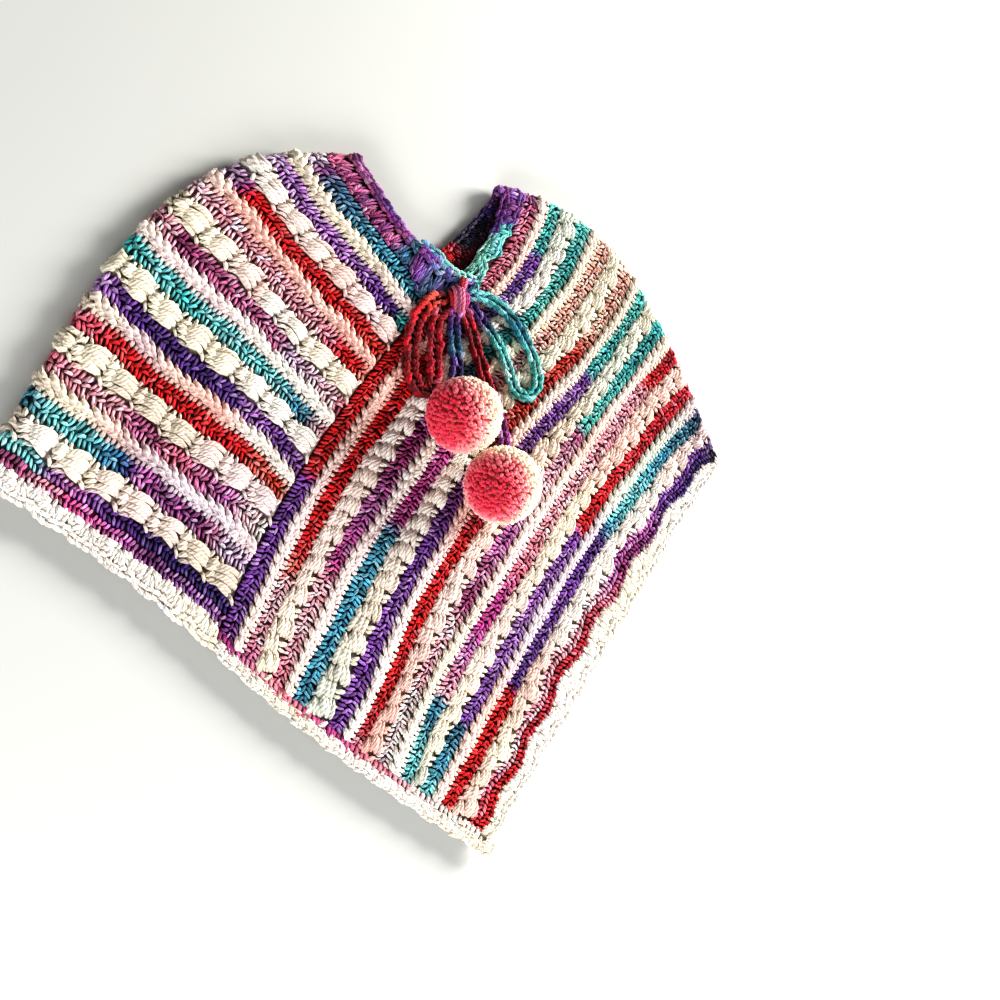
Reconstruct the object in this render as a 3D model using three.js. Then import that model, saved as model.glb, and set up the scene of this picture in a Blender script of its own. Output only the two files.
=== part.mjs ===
// A toddler's crochet poncho, laid flat with its front up.
//
// Two striped rectangles are sewn into a ring: the short end of each one is sewn
// along a long side of the other. Folded flat at the two shoulders, the ring has a
// V neck at the top and a point at the bottom. Scalloped edgings run round the neck
// and the hem, and a drawstring with two pom-poms is tied in a bow under the V.
//
// Millimetres. +X to the wearer's left, +Y from the hem to the neck, +Z up.
// The poncho rests on z = 0, and its middle is over the origin.

import * as THREE from 'three';

// ---- driving sizes -------------------------------------------------------------

const PANEL_WIDTH = 235; // across the rows, from the neck side to the hem side
const CLOTH = 4; // thickness of the crochet
const SEWN_GAP = 0.3; // between pieces that are sewn to each other
const LAYER_GAP = 0.6; // between the back leaf and the front leaf
const FOLD_RADIUS = { left: 3.8, right: 3.9 }; // of the cloth's middle at each shoulder
const SHOULDER_LOFT = 55; // the front leaf rises towards a shoulder over this much

const HEM_EDGING = 12; // how far the scallops reach past the hem
const NECK_EDGING = { left: 16, back: 11, turned: 13 }; // width of each stretch
const TURNED_THICKNESS = 3;

const CORD = 5.5; // diameter of the crocheted drawstring
const CORD_SIDES = 10;

// The garment's corners as it lies, on the table.
const CORNER = {
  seamHem: { x: -115, y: -78 }, // lower end of the front seam
  frontNeck: { x: 10, y: 131 }, // upper end of the front seam, at the front V
  frontPoint: { x: 44, y: -201 },
  leftNeck: { x: -60, y: 212 }, // where each shoulder fold starts and ends
  leftHem: { x: -234, y: 13 },
  rightNeck: { x: 60, y: 213 },
  rightHem: { x: 227, y: 49 },
  backNeck: { x: 6, y: 140 }, // upper end of the back seam, at the back V
  backSeamHem: { x: 155, y: -35 }, // lower end of the back seam
  backPoint: { x: 36, y: -178 },
};

// Soft swells of the front leaf: where each one lies, its heading, its half sizes
// and how high it stands.
const SWELLS = [
  { x: 95, y: -110, heading: 55, long: 60, wide: 14, high: 2.2 },
  { x: 160, y: -25, heading: 60, long: 45, wide: 12, high: 1.8 },
  { x: 20, y: -110, heading: 60, long: 50, wide: 16, high: 1.8 },
  { x: 125, y: 90, heading: 55, long: 70, wide: 15, high: 1.6 },
  { x: -100, y: 60, heading: -40, long: 50, wide: 20, high: 2.0 },
  { x: -150, y: 5, heading: -35, long: 45, wide: 14, high: 1.6 },
];

// ---- outlines ------------------------------------------------------------------

const point = (name) => new THREE.Vector2(CORNER[name].x, CORNER[name].y);
const towards = (degrees) =>
  new THREE.Vector2(Math.cos(THREE.MathUtils.degToRad(degrees)), Math.sin(THREE.MathUtils.degToRad(degrees)));

// A curve between two places that leaves on one heading and arrives on another.
function edge(from, to, leave, arrive, pull = 1 / 3) {
  const reach = from.distanceTo(to) * pull;
  const near = towards(leave).multiplyScalar(reach).add(from);
  const far = towards(arrive).multiplyScalar(-reach).add(to);
  return new THREE.CubicBezierCurve(from, near, far, to);
}

// The place a share u of the way along a curve, which runs on straight past its ends.
function along(curve, u) {
  const inside = THREE.MathUtils.clamp(u, 0, 1);
  const past = (u - inside) * curve.getLength();
  return curve.getTangentAt(inside).multiplyScalar(past).add(curve.getPointAt(inside));
}

// Several curves end to end, as one function of the share of the whole length.
function chain(...curves) {
  const total = curves.reduce((sum, curve) => sum + curve.getLength(), 0);
  return (u) => {
    let left = u * total;
    for (const curve of curves.slice(0, -1)) {
      if (left < curve.getLength()) return along(curve, left / curve.getLength());
      left -= curve.getLength();
    }
    const last = curves.at(-1);
    return along(last, left / last.getLength());
  };
}

// A shoulder fold seen from above. outline is the cloth's edge, and the fold's axis
// lies inside it by the radius and half the cloth. side is +1 where the way out is to
// the right of the outline's heading.
function shoulder(outline, radius, side) {
  const outward = (a) => {
    const heading = outline.getTangentAt(THREE.MathUtils.clamp(a, 0, 1));
    return new THREE.Vector2(heading.y * side, -heading.x * side);
  };
  const axis = (a) => along(outline, a).addScaledVector(outward(a), -radius - CLOTH / 2);
  return { outward, axis, radius };
}

const leftShoulder = shoulder(
  edge(point('leftNeck'), point('leftHem'), 188, 243, 0.4), FOLD_RADIUS.left, 1);
const rightShoulder = shoulder(
  edge(point('rightNeck'), point('rightHem'), 0, -64, 0.4), FOLD_RADIUS.right, -1);

const frontSeam = edge(point('seamHem'), point('frontNeck'), 71, 51);
const frontNeckLeft = edge(point('frontNeck'), leftShoulder.axis(0), 139, 130);
const frontNeckRight = edge(point('frontNeck'), rightShoulder.axis(0), 38, 80, 0.38);
const backSeam = edge(point('backNeck'), point('backSeamHem'), -50, -49);
const backNeckLeft = edge(leftShoulder.axis(0), point('backNeck'), -50, -38);
const backNeckRight = edge(rightShoulder.axis(0), point('backNeck'), 250, 224, 0.38);

const turnedRound = (curve) => (u) => along(curve, 1 - u);
const straight = (curve) => (u) => along(curve, u);

// ---- the cloth as a surface ----------------------------------------------------

// A leaf is a flat patch between four curves. a runs across the rows from the neck
// side (0) to the hem side (1), and b runs along them from start (0) to end (1).
function leaf({ neckSide, hemSide, start, end }) {
  const corners = [start(0), start(1), end(0), end(1)];
  return (a, b) => {
    const place = new THREE.Vector2();
    place.addScaledVector(neckSide(b), 1 - a).addScaledVector(hemSide(b), a);
    place.addScaledVector(start(a), 1 - b).addScaledVector(end(a), b);
    place.addScaledVector(corners[0], -(1 - a) * (1 - b)).addScaledVector(corners[1], -a * (1 - b));
    return place.addScaledVector(corners[2], -(1 - a) * b).addScaledVector(corners[3], -a * b);
  };
}

const leftPanel = {
  shoulder: leftShoulder,
  front: leaf({
    neckSide: straight(frontNeckLeft),
    hemSide: straight(edge(point('seamHem'), leftShoulder.axis(1), 138, 147)),
    start: turnedRound(frontSeam),
    end: leftShoulder.axis,
  }),
  back: leaf({
    neckSide: chain(backNeckLeft, backSeam),
    hemSide: straight(edge(leftShoulder.axis(1), point('backPoint'), -27, -43, 0.4)),
    start: leftShoulder.axis,
    end: turnedRound(edge(point('backPoint'), point('backSeamHem'), 49, 51)),
  }),
};

const rightPanel = {
  shoulder: rightShoulder,
  front: leaf({
    neckSide: chain(frontSeam, frontNeckRight),
    hemSide: straight(edge(point('frontPoint'), rightShoulder.axis(1), 53, 55)),
    start: straight(edge(point('seamHem'), point('frontPoint'), -45, -34)),
    end: rightShoulder.axis,
  }),
  back: leaf({
    neckSide: straight(backNeckRight),
    hemSide: straight(edge(rightShoulder.axis(1), point('backSeamHem'), 233, 230)),
    start: rightShoulder.axis,
    end: straight(backSeam),
  }),
};

// Height of the front leaf's middle, from its place and its distance to the fold.
const LEAF_HEIGHT = CLOTH + LAYER_GAP + CLOTH / 2;

function frontHeight(place, toFold, radius) {
  const share = THREE.MathUtils.clamp(1 - toFold / SHOULDER_LOFT, 0, 1);
  const rise = (CLOTH / 2 + 2 * radius - LEAF_HEIGHT) * THREE.MathUtils.smoothstep(share, 0, 1);
  const swell = SWELLS.reduce((sum, s) => {
    const offset = new THREE.Vector2(place.x - s.x, place.y - s.y);
    const lengthways = offset.dot(towards(s.heading)) / s.long;
    const sideways = offset.dot(towards(s.heading + 90)) / s.wide;
    return sum + s.high * Math.exp(-(lengthways ** 2) - sideways ** 2);
  }, 0);
  return LEAF_HEIGHT + rise + swell * (1 - share);
}

// The middle of a panel's cloth. p runs along the rows: 0 to 1 over the front leaf,
// 1 to 2 round the shoulder fold, and 2 to 3 over the back leaf.
function clothMiddle(panel, a, p) {
  const { axis, outward, radius } = panel.shoulder;
  if (p <= 1) {
    const place = panel.front(a, p);
    return new THREE.Vector3(place.x, place.y, frontHeight(place, place.distanceTo(axis(a)), radius));
  }
  if (p < 2) {
    const turn = (p - 1) * Math.PI;
    const place = axis(a).addScaledVector(outward(a), radius * Math.sin(turn));
    return new THREE.Vector3(place.x, place.y, CLOTH / 2 + radius * (1 + Math.cos(turn)));
  }
  const place = panel.back(a, p - 2);
  return new THREE.Vector3(place.x, place.y, CLOTH / 2);
}

// A point off the middle of the cloth, on its outer side if out is above 0. hand is
// +1 or -1, whichever makes the front leaf's outer side the upper one.
function clothPoint(panel, a, p, out) {
  const STEP = 0.004;
  const across = clothMiddle(panel, a + STEP, p).sub(clothMiddle(panel, a - STEP, p));
  const rowwise = clothMiddle(panel, a, p + STEP).sub(clothMiddle(panel, a, p - STEP));
  const hand = panel === leftPanel ? -1 : 1;
  const normal = rowwise.cross(across).multiplyScalar(-hand).normalize();
  return clothMiddle(panel, a, p).addScaledVector(normal, out);
}

// ---- solids --------------------------------------------------------------------

const spread = (from, to, steps) => Array.from({ length: steps + 1 }, (_, i) => from + ((to - from) * i) / steps);

// A closed wall between two offsets from the cloth's middle, over a grid of a and p.
function wall(panel, across, rowwise, inner, outer) {
  const corners = [];
  for (const out of [inner, outer]) {
    for (const a of across) {
      for (const p of rowwise) corners.push(...clothPoint(panel, a, p, out).toArray());
    }
  }
  const rows = across.length;
  const columns = rowwise.length;
  const index = (layer, i, j) => (layer * rows + i) * columns + j;
  const faces = [];
  const quad = (a, b, c, d) => faces.push(a, b, c, a, c, d);
  for (let i = 0; i + 1 < rows; i += 1) {
    for (let j = 0; j + 1 < columns; j += 1) {
      quad(index(1, i, j), index(1, i, j + 1), index(1, i + 1, j + 1), index(1, i + 1, j));
      quad(index(0, i, j), index(0, i + 1, j), index(0, i + 1, j + 1), index(0, i, j + 1));
    }
  }
  const last = [rows - 1, columns - 1];
  for (let j = 0; j < last[1]; j += 1) {
    quad(index(0, 0, j), index(0, 0, j + 1), index(1, 0, j + 1), index(1, 0, j));
    quad(index(0, last[0], j), index(1, last[0], j), index(1, last[0], j + 1), index(0, last[0], j + 1));
  }
  for (let i = 0; i < last[0]; i += 1) {
    quad(index(0, i, 0), index(1, i, 0), index(1, i + 1, 0), index(0, i + 1, 0));
    quad(index(0, i, last[1]), index(0, i + 1, last[1]), index(1, i + 1, last[1]), index(1, i, last[1]));
  }
  const geometry = new THREE.BufferGeometry();
  geometry.setAttribute('position', new THREE.Float32BufferAttribute(corners, 3));
  geometry.setIndex(signedVolume(corners, faces) > 0 ? faces : faces.reverse());
  return geometry;
}

function signedVolume(corners, faces) {
  const vertex = (i) => new THREE.Vector3().fromArray(corners, 3 * i);
  let sum = 0;
  for (let f = 0; f < faces.length; f += 3) {
    sum += vertex(faces[f]).dot(vertex(faces[f + 1]).cross(vertex(faces[f + 2])));
  }
  return sum / 6;
}

// A length in millimetres as a share of a panel's width, or of a leaf's length.
const acrossShare = (mm) => mm / PANEL_WIDTH;

function rowwiseShare(panel, whole, mm) {
  const ends = [clothMiddle(panel, 0.5, whole), clothMiddle(panel, 0.5, whole + (whole < 3 ? 1 : -1))];
  return mm / ends[0].distanceTo(ends[1]);
}

const material = (color, roughness = 0.9) => new THREE.MeshStandardMaterial({ color, roughness, metalness: 0 });

const group = new THREE.Group();

function add(name, geometry, finish) {
  const mesh = new THREE.Mesh(geometry, finish);
  mesh.name = name;
  group.add(mesh);
  return mesh;
}

// ---- panels --------------------------------------------------------------------

const stripes = material(0xc98aa8);
const ecru = material(0xf2e8d5);
const half = CLOTH / 2;
const PANEL_ROWS = spread(0, 1, 14);
const FOLD_STEPS = 5;

const leftStart = rowwiseShare(leftPanel, 0, SEWN_GAP);
const rightEnd = 3 - rowwiseShare(rightPanel, 3, SEWN_GAP);
const throughFold = (from, front, back, to) => [
  ...spread(from, 1, front), ...spread(1, 2, FOLD_STEPS).slice(1), ...spread(2, to, back).slice(1)];
const leftRun = throughFold(leftStart, 10, 20, 3);
const rightRun = throughFold(0, 22, 8, rightEnd);

add('panel_left', wall(leftPanel, PANEL_ROWS, leftRun, -half, half), stripes);
add('panel_right', wall(rightPanel, PANEL_ROWS, rightRun, -half, half), stripes);

// ---- hem edging ----------------------------------------------------------------

const hemBand = [1 + acrossShare(SEWN_GAP), 1 + acrossShare(HEM_EDGING)];
const endBand = (panel, whole, way) => {
  const near = rowwiseShare(panel, whole, SEWN_GAP);
  const far = rowwiseShare(panel, whole, HEM_EDGING);
  return [whole + way * near, whole + way * far].sort((one, other) => one - other);
};
const endRows = spread(0, hemBand[1], 14);

add('hem_edging_left', wall(leftPanel, hemBand, leftRun, -half, half), ecru);
add('hem_edging_right', wall(rightPanel, hemBand, rightRun, -half, half), ecru);
add('hem_edging_front_end', wall(rightPanel, endRows, endBand(rightPanel, 0, -1), -half, half), ecru);
add('hem_edging_back_end', wall(leftPanel, endRows, endBand(leftPanel, 3, 1), -half, half), ecru);

// ---- neck edging ---------------------------------------------------------------

const neckBand = (width) => [-acrossShare(width), -acrossShare(SEWN_GAP)];
const VALLEY = { front: 1, turned: 26, back: 4, crossing: 20 }; // from the bottom of its V to each stretch
const lengthOf = (...curves) => curves.reduce((sum, curve) => sum + curve.getLength(), 0);
const neckStart = VALLEY.front / lengthOf(frontNeckLeft);
const neckStop = (lengthOf(backNeckLeft) - VALLEY.crossing) / lengthOf(backNeckLeft, backSeam);
const backStop = 1 - VALLEY.back / lengthOf(backNeckRight);
const seamShare = lengthOf(frontSeam) / lengthOf(frontSeam, frontNeckRight);
const turnedStart = seamShare + VALLEY.turned / lengthOf(frontSeam, frontNeckRight);

add('neck_edging_left', wall(leftPanel, neckBand(NECK_EDGING.left),
  throughFold(neckStart, 8, 8, 2 + neckStop), -half, half), material(0xb0559b));
add('neck_edging_back', wall(rightPanel, neckBand(NECK_EDGING.back),
  [...spread(1.5, 2, 3), ...spread(2, 2 + backStop, 7).slice(1)], -half, half), material(0x7a1f3a));
const turnedInner = half + SEWN_GAP;
add('neck_edging_turned', wall(rightPanel, [acrossShare(1), acrossShare(NECK_EDGING.turned)],
  spread(turnedStart, 0.99, 6), turnedInner, turnedInner + TURNED_THICKNESS), material(0x5fc4bf));

// ---- drawstring and pom-poms -----------------------------------------------------

const LEAF_TOP = LEAF_HEIGHT + half;
const REST = LEAF_TOP + SEWN_GAP; // where things that lie on the front leaf start
const KNOT = { x: 25, y: 131, long: 8, wide: 6, high: 4.3 };
const POMPOMS = [
  { name: 'pompom_upper', x: 22, y: 52, radius: 23.6, high: 23 },
  { name: 'pompom_lower', x: 47.5, y: 10.5, radius: 24.3, high: 23.4 },
];
// The routes of the cord's middle, which lies on the front leaf.
const LOOP_LEFT = [
  { x: 16.2, y: 132 }, { x: 8, y: 129 }, { x: 0, y: 121 }, { x: -5.5, y: 108 }, { x: -7.5, y: 94 },
  { x: -7, y: 80 }, { x: -2, y: 69 }, { x: 7, y: 68 }, { x: 11.5, y: 78 }, { x: 12, y: 92 },
  { x: 12, y: 106 }, { x: 14, y: 117 }, { x: 17.5, y: 124.6 }];
const LOOP_RIGHT = [
  { x: 33.4, y: 133.5 }, { x: 43, y: 134 }, { x: 54, y: 130 }, { x: 64, y: 122 }, { x: 73, y: 109 },
  { x: 80, y: 95 }, { x: 82, y: 82 }, { x: 76, y: 73 }, { x: 67, y: 76 }, { x: 62, y: 87 },
  { x: 57, y: 100 }, { x: 49, y: 112 }, { x: 41.5, y: 120.5 }, { x: 35.6, y: 127.2 }];
const TAIL_SHORT = [
  { x: 24.2, y: 124 }, { x: 22.5, y: 114 }, { x: 23.5, y: 102 }, { x: 25, y: 90 }, { x: 24.5, y: 78 }, { x: 23.5, y: 68.3 }];
const TAIL_LONG = [
  { x: 30.3, y: 124.6 }, { x: 33.8, y: 114 }, { x: 38, y: 101 }, { x: 43, y: 87 }, { x: 49, y: 71 },
  { x: 55, y: 55 }, { x: 58, y: 41 }, { x: 55.5, y: 30 }, { x: 53, y: 25.6 }];

function cord(route, steps) {
  const middle = new THREE.CatmullRomCurve3(
    route.map(({ x, y }) => new THREE.Vector3(x, y, REST + CORD / 2)), false, 'centripetal');
  const section = new THREE.Shape(spread(0, 1, CORD_SIDES).slice(0, -1).map(
    (turn) => towards(360 * turn).multiplyScalar(CORD / 2)));
  return new THREE.ExtrudeGeometry(section, { steps, extrudePath: middle, bevelEnabled: false });
}

const red = material(0xb3262f);
const teal = material(0x2f8f9a);
const pink = material(0xe8788a, 1);
add('drawstring_loop_left', cord(LOOP_LEFT, 14), red);
add('drawstring_loop_right', cord(LOOP_RIGHT, 16), teal);
add('drawstring_tail_short', cord(TAIL_SHORT, 6), material(0x3b3f8f));
add('drawstring_tail_long', cord(TAIL_LONG, 10), red);

const knot = new THREE.SphereGeometry(1, 14, 10).scale(KNOT.long, KNOT.wide, KNOT.high);
add('drawstring_knot', knot, red).position.set(KNOT.x, KNOT.y, REST + KNOT.high);

for (const { name, x, y, radius, high } of POMPOMS) {
  const ball = new THREE.SphereGeometry(1, 20, 14).rotateX(Math.PI / 2).scale(radius, radius, high);
  add(name, ball, pink).position.set(x, y, REST + high);
}

// ---- the origin, under the middle of the whole poncho -------------------------------

const size = new THREE.Box3().setFromObject(group);
const middle = size.getCenter(new THREE.Vector3());
group.position.set(-middle.x, -middle.y, 0);

export default group;
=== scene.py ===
# %% [markdown]
# # A child's crochet poncho with a pom-pom drawstring
#
# The real poncho is two striped rectangles, crocheted in rows along their length and
# sewn into a ring. It lies flat with its front up, so nearly everywhere there are two
# layers of cloth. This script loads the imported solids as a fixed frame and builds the
# crochet over them: smooth walls for the cloth, then every strand of every stitch.

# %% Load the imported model
import math
import bpy
import numpy as np
from mathutils import Matrix, Vector


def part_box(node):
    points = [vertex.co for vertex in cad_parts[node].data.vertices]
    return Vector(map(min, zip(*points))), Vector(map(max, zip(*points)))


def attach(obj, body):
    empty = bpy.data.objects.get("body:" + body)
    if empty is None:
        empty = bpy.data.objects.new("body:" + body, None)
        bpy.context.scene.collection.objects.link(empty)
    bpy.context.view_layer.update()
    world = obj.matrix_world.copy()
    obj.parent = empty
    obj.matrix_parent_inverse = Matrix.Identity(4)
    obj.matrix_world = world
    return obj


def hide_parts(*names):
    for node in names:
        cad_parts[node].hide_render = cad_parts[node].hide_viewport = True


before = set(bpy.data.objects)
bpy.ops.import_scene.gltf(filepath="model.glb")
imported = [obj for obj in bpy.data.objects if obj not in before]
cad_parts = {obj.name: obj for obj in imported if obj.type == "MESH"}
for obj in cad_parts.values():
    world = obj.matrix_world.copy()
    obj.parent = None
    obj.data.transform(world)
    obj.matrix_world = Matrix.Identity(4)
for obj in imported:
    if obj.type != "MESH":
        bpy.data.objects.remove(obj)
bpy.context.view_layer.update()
MM = 0.001
rng = np.random.default_rng(7)
print(len(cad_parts), "nodes:", ", ".join(sorted(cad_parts)))

# %% [markdown]
# ## The camera
#
# The poncho is seen from above and a little from its right side, from close by, so
# the near side looks larger. A 35 mm lens 620 mm from a point on the table gives the
# same shape. A camera looks along its own -Z with +Y up, so its matrix is written
# from the three directions.

# %% Camera
# The lay below is measured from one place on the table, which the solids share.
POMPOMS = {
    "pompom_upper": {"x": 22, "y": 52, "radius": 23.6, "high": 23},
    "pompom_lower": {"x": 47.5, "y": 10.5, "radius": 24.3, "high": 23.4},
}
low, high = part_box("pompom_upper")
ball = POMPOMS["pompom_upper"]
LAY_ORIGIN = np.array([(low[0] + high[0]) / 2 - ball["x"] * MM, (low[1] + high[1]) / 2 - ball["y"] * MM, 0])


def on_table(places):
    """Places in millimetres of the lay, in metres of the frame."""
    return places * MM + LAY_ORIGIN


CAMERA_AIM = (61, 5, 0)
CAMERA_WAY = (-265, -66, 560)
target = Vector(on_table(np.array(CAMERA_AIM)))
camera_data = bpy.data.cameras.new("camera")
camera_data.lens = 34.56
camera_data.sensor_width = 36
camera = bpy.data.objects.new("camera", camera_data)
place = target + Vector(CAMERA_WAY) * MM
back = (place - target).normalized()
right = Vector((0, 1, 0)).cross(back).normalized()
up = back.cross(right)
camera.matrix_world = Matrix.Translation(place) @ Matrix((right, up, back)).transposed().to_4x4()
bpy.context.scene.collection.objects.link(camera)
bpy.context.scene.camera = camera
print("camera", round((place - target).length, 3), "m from its target")

# %% [markdown]
# ## Yarn into meshes
#
# Each strand that shows in a stitch is a plump, slightly bent piece of yarn whose
# ends dive into the cloth. Here it is a closed tube along a curve through three
# points, thick in the middle and pointed at its ends. Thousands of them are worked
# out at once as arrays and joined into one mesh, which is far quicker than one
# object each. Every point keeps its yarn colour, darkened with painted shade towards
# the strand's ends, and where it is on its strand, so that the material can draw the
# twist of the plies.

# %% Strands as arrays
RINGS = {
    "fat": (0.05, 0.22, 0.5, 0.78, 0.95),
    "fine": (0.07, 0.33, 0.67, 0.93),
    "plain": (0.14, 0.5, 0.86),
}
SIDES = {"fat": 7, "fine": 5, "plain": 3}


def strand_tubes(points, thick, grade="fine"):
    """Closed tubes along curves through points (N, 3, 3), whose middles are thick (N,)."""
    t = np.array((0.0,) + RINGS[grade] + (1.0,))
    start, middle, stop = points[:, 0], points[:, 1], points[:, 2]
    pull = 2 * middle - (start + stop) / 2
    weights = [(1 - t) ** 2, 2 * t * (1 - t), t ** 2]
    line = sum(w[None, :, None] * p[:, None] for w, p in zip(weights, (start, pull, stop)))
    tangent = np.gradient(line, axis=1)
    tangent /= np.linalg.norm(tangent, axis=2, keepdims=True)
    side = np.cross(tangent, (0.0, 0.0, 1.0))
    side /= np.maximum(np.linalg.norm(side, axis=2, keepdims=True), 1e-9)
    upper = np.cross(side, tangent)
    turn = 2 * math.pi * np.arange(SIDES[grade]) / SIDES[grade]
    swell = np.sin(math.pi * np.clip(t[1:-1], 0.17, 0.83)) ** 0.5
    radius = thick[:, None] / 2 * swell
    ring = side[:, 1:-1, None] * np.cos(turn)[:, None] + upper[:, 1:-1, None] * np.sin(turn)[:, None]
    tube = line[:, 1:-1, None] + ring * radius[:, :, None, None]
    count, rings, sides = tube.shape[:3]
    places = np.concatenate([line[:, :1], tube.reshape(count, rings * sides, 3), line[:, -1:]], axis=1)
    steps = np.linalg.norm(np.diff(line, axis=1), axis=2)
    run = np.concatenate([np.zeros((count, 1)), steps.cumsum(axis=1)], axis=1)
    twist = np.zeros(places.shape)
    twist[:, 1:-1, 0] = np.tile(np.cos(turn), rings)
    twist[:, 1:-1, 1] = np.tile(np.sin(turn), rings)
    twist[:, 1:-1, 2] = np.repeat(run[:, 1:-1], sides, axis=1)
    twist[:, -1, 2] = run[:, -1]
    return places, tube_faces(rings, sides), twist


def tube_faces(rings, sides):
    """The triangles of one tube: its first end point, its rings and its last end point."""
    k = np.arange(sides)
    following = (k + 1) % sides
    last = 1 + rings * sides
    faces = [np.stack([np.zeros(sides, int), 1 + following, 1 + k], axis=1)]
    for r in range(rings - 1):
        near, far = 1 + r * sides, 1 + (r + 1) * sides
        faces.append(np.stack([near + k, near + following, far + following], axis=1))
        faces.append(np.stack([near + k, far + following, far + k], axis=1))
    faces.append(np.stack([np.full(sides, last), last - sides + k, last - sides + following], axis=1))
    return np.concatenate(faces)


print({grade: 2 * SIDES[grade] * len(RINGS[grade]) for grade in RINGS}, "triangles a strand")

# %% Strands joined into a piece
class Work:
    """What is crocheted so far of one piece: places, triangles, colours and twists."""

    def __init__(self):
        self.places, self.faces, self.colours, self.twists, self.count = [], [], [], [], 0

    def add(self, places, faces, colours, twists=None):
        """Adds copies (N, V, 3) that share faces, with a colour each or one for every point."""
        copies, each = places.shape[:2]
        starts = self.count + each * np.arange(copies)
        self.faces.append((starts[:, None, None] + faces[None]).reshape(-1, 3))
        self.places.append(places.reshape(-1, 3))
        self.colours.append(np.broadcast_to(colours.reshape(copies, -1, 3), places.shape).reshape(-1, 3))
        self.twists.append(np.zeros((copies * each, 3)) if twists is None else twists.reshape(-1, 3))
        self.count += copies * each

    def build(self, name, material):
        parts = self.places, self.faces, self.colours, self.twists
        return make_mesh(name, material, *(np.concatenate(part) for part in parts))


def make_mesh(name, material, places, faces, colours, twists=None):
    """A smooth-shaded object from arrays of places in metres, triangles and linear colours."""
    mesh = bpy.data.meshes.new(name)
    mesh.vertices.add(len(places))
    mesh.vertices.foreach_set("co", places.astype(np.float32).ravel())
    mesh.loops.add(3 * len(faces))
    mesh.loops.foreach_set("vertex_index", faces.astype(np.int32).ravel())
    mesh.polygons.add(len(faces))
    mesh.polygons.foreach_set("loop_start", np.arange(0, 3 * len(faces), 3, dtype=np.int32))
    mesh.polygons.foreach_set("use_smooth", np.ones(len(faces), bool))
    opaque = np.column_stack([colours, np.ones(len(colours))])
    # Each point's colour is its yarn's, with painted shade and painted light laid onto it.
    paint = mesh.attributes.new("yarn_colour_and_painted_shade", "FLOAT_COLOR", "POINT")
    paint.data.foreach_set("color", opaque.astype(np.float32).ravel())
    if twists is not None:
        twist = mesh.attributes.new("twist", "FLOAT_VECTOR", "POINT")
        twist.data.foreach_set("vector", twists.astype(np.float32).ravel())
    mesh.update(calc_edges=True)
    mesh.validate()
    mesh.materials.append(material)
    piece = bpy.data.objects.new(name, mesh)
    bpy.context.scene.collection.objects.link(piece)
    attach(piece, "root")
    print(f"{name}: {len(faces)} triangles")
    return piece

# %% [markdown]
# ## Yarn colours and materials
#
# The poncho is worsted cotton in a variegated colourway and in plain ecru. Cotton yarn
# is matte with a faint sheen from its fibre ends, so its roughness is high. A
# variegated yarn changes along every row, so the colours could be one texture with a
# map, but here each point keeps its own, which needs no map. The bump is the twist of
# four plies, one turn in 11 mm, drawn a little coarser than the real one so that it
# shows, with finer fuzz over it.

# %% Yarn colours
def linear(code):
    """An sRGB hex colour as linear numbers."""
    parts = np.array([int(code[i:i + 2], 16) / 255 for i in (1, 3, 5)])
    return np.where(parts <= 0.04045, parts / 12.92, ((parts + 0.055) / 1.055) ** 2.4)


YARN = {name: linear(code) for name, code in {
    "ecru": "#faf0e7", "cream": "#f6ebd5", "oat": "#e4d6c4", "shell": "#f6e2d8", "peach": "#f4d2c6",
    "rosy": "#f3c0b4", "blush": "#f7e2e0", "dusk": "#dac3c6", "mist": "#dce0d2", "haze": "#e8dae0",
    "red": "#df1a1e", "orange_red": "#e44a34", "brick": "#cf4032", "dark_red": "#a3122a",
    "oxblood": "#880818", "crimson": "#c3283c",
    "coral": "#ee6a5c", "red_pink": "#de4c5c", "rose": "#e47e94", "pink": "#f2aab6", "salmon": "#f3b8a6",
    "pale_pink": "#f8c9d0", "hot_pink": "#e2589a", "magenta": "#c44c98", "dark_magenta": "#9c3672",
    "mauve": "#c06c96", "orchid": "#c874b8", "plum": "#863f80", "violet": "#ae7abe", "purple": "#8850a8",
    "deep_purple": "#5c3286", "indigo": "#3f226e", "navy": "#2a1c52", "night": "#1b1030",
    "lavender": "#bda0d2", "lilac": "#dcc2dd", "slate": "#5f82a6", "blue": "#3878ac",
    "ocean": "#56a4bc", "deep_teal": "#397890", "teal": "#45aaaa", "sea": "#6cc8be", "aqua": "#86d6d8",
    "mint": "#9fe4d2",
    # Pom-pom tufts: deep pink for painted shade and pale cream for painted light, with pink and peach
    # between.
    "pompom_deep": "#e63556", "pompom_pink": "#fb8492", "pompom_peach": "#ffc4b8", "pompom_pale": "#fff2d8",
}.items()}
print(len(YARN), "yarn colours")

# %% Yarn material
def add_node(tree, kind, settings=None, links=None):
    """Adds a node. Settings and links are kept by the name or number of an input."""
    node = tree.nodes.new(kind)
    for name, value in (settings or {}).items():
        if isinstance(name, int) or name in node.inputs:
            node.inputs[name].default_value = value
        else:
            setattr(node, name, value)
    for name, socket in (links or {}).items():
        tree.links.new(socket, node.inputs[name])
    return node


PLIES = 4
PLY_TURN = 11


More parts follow.
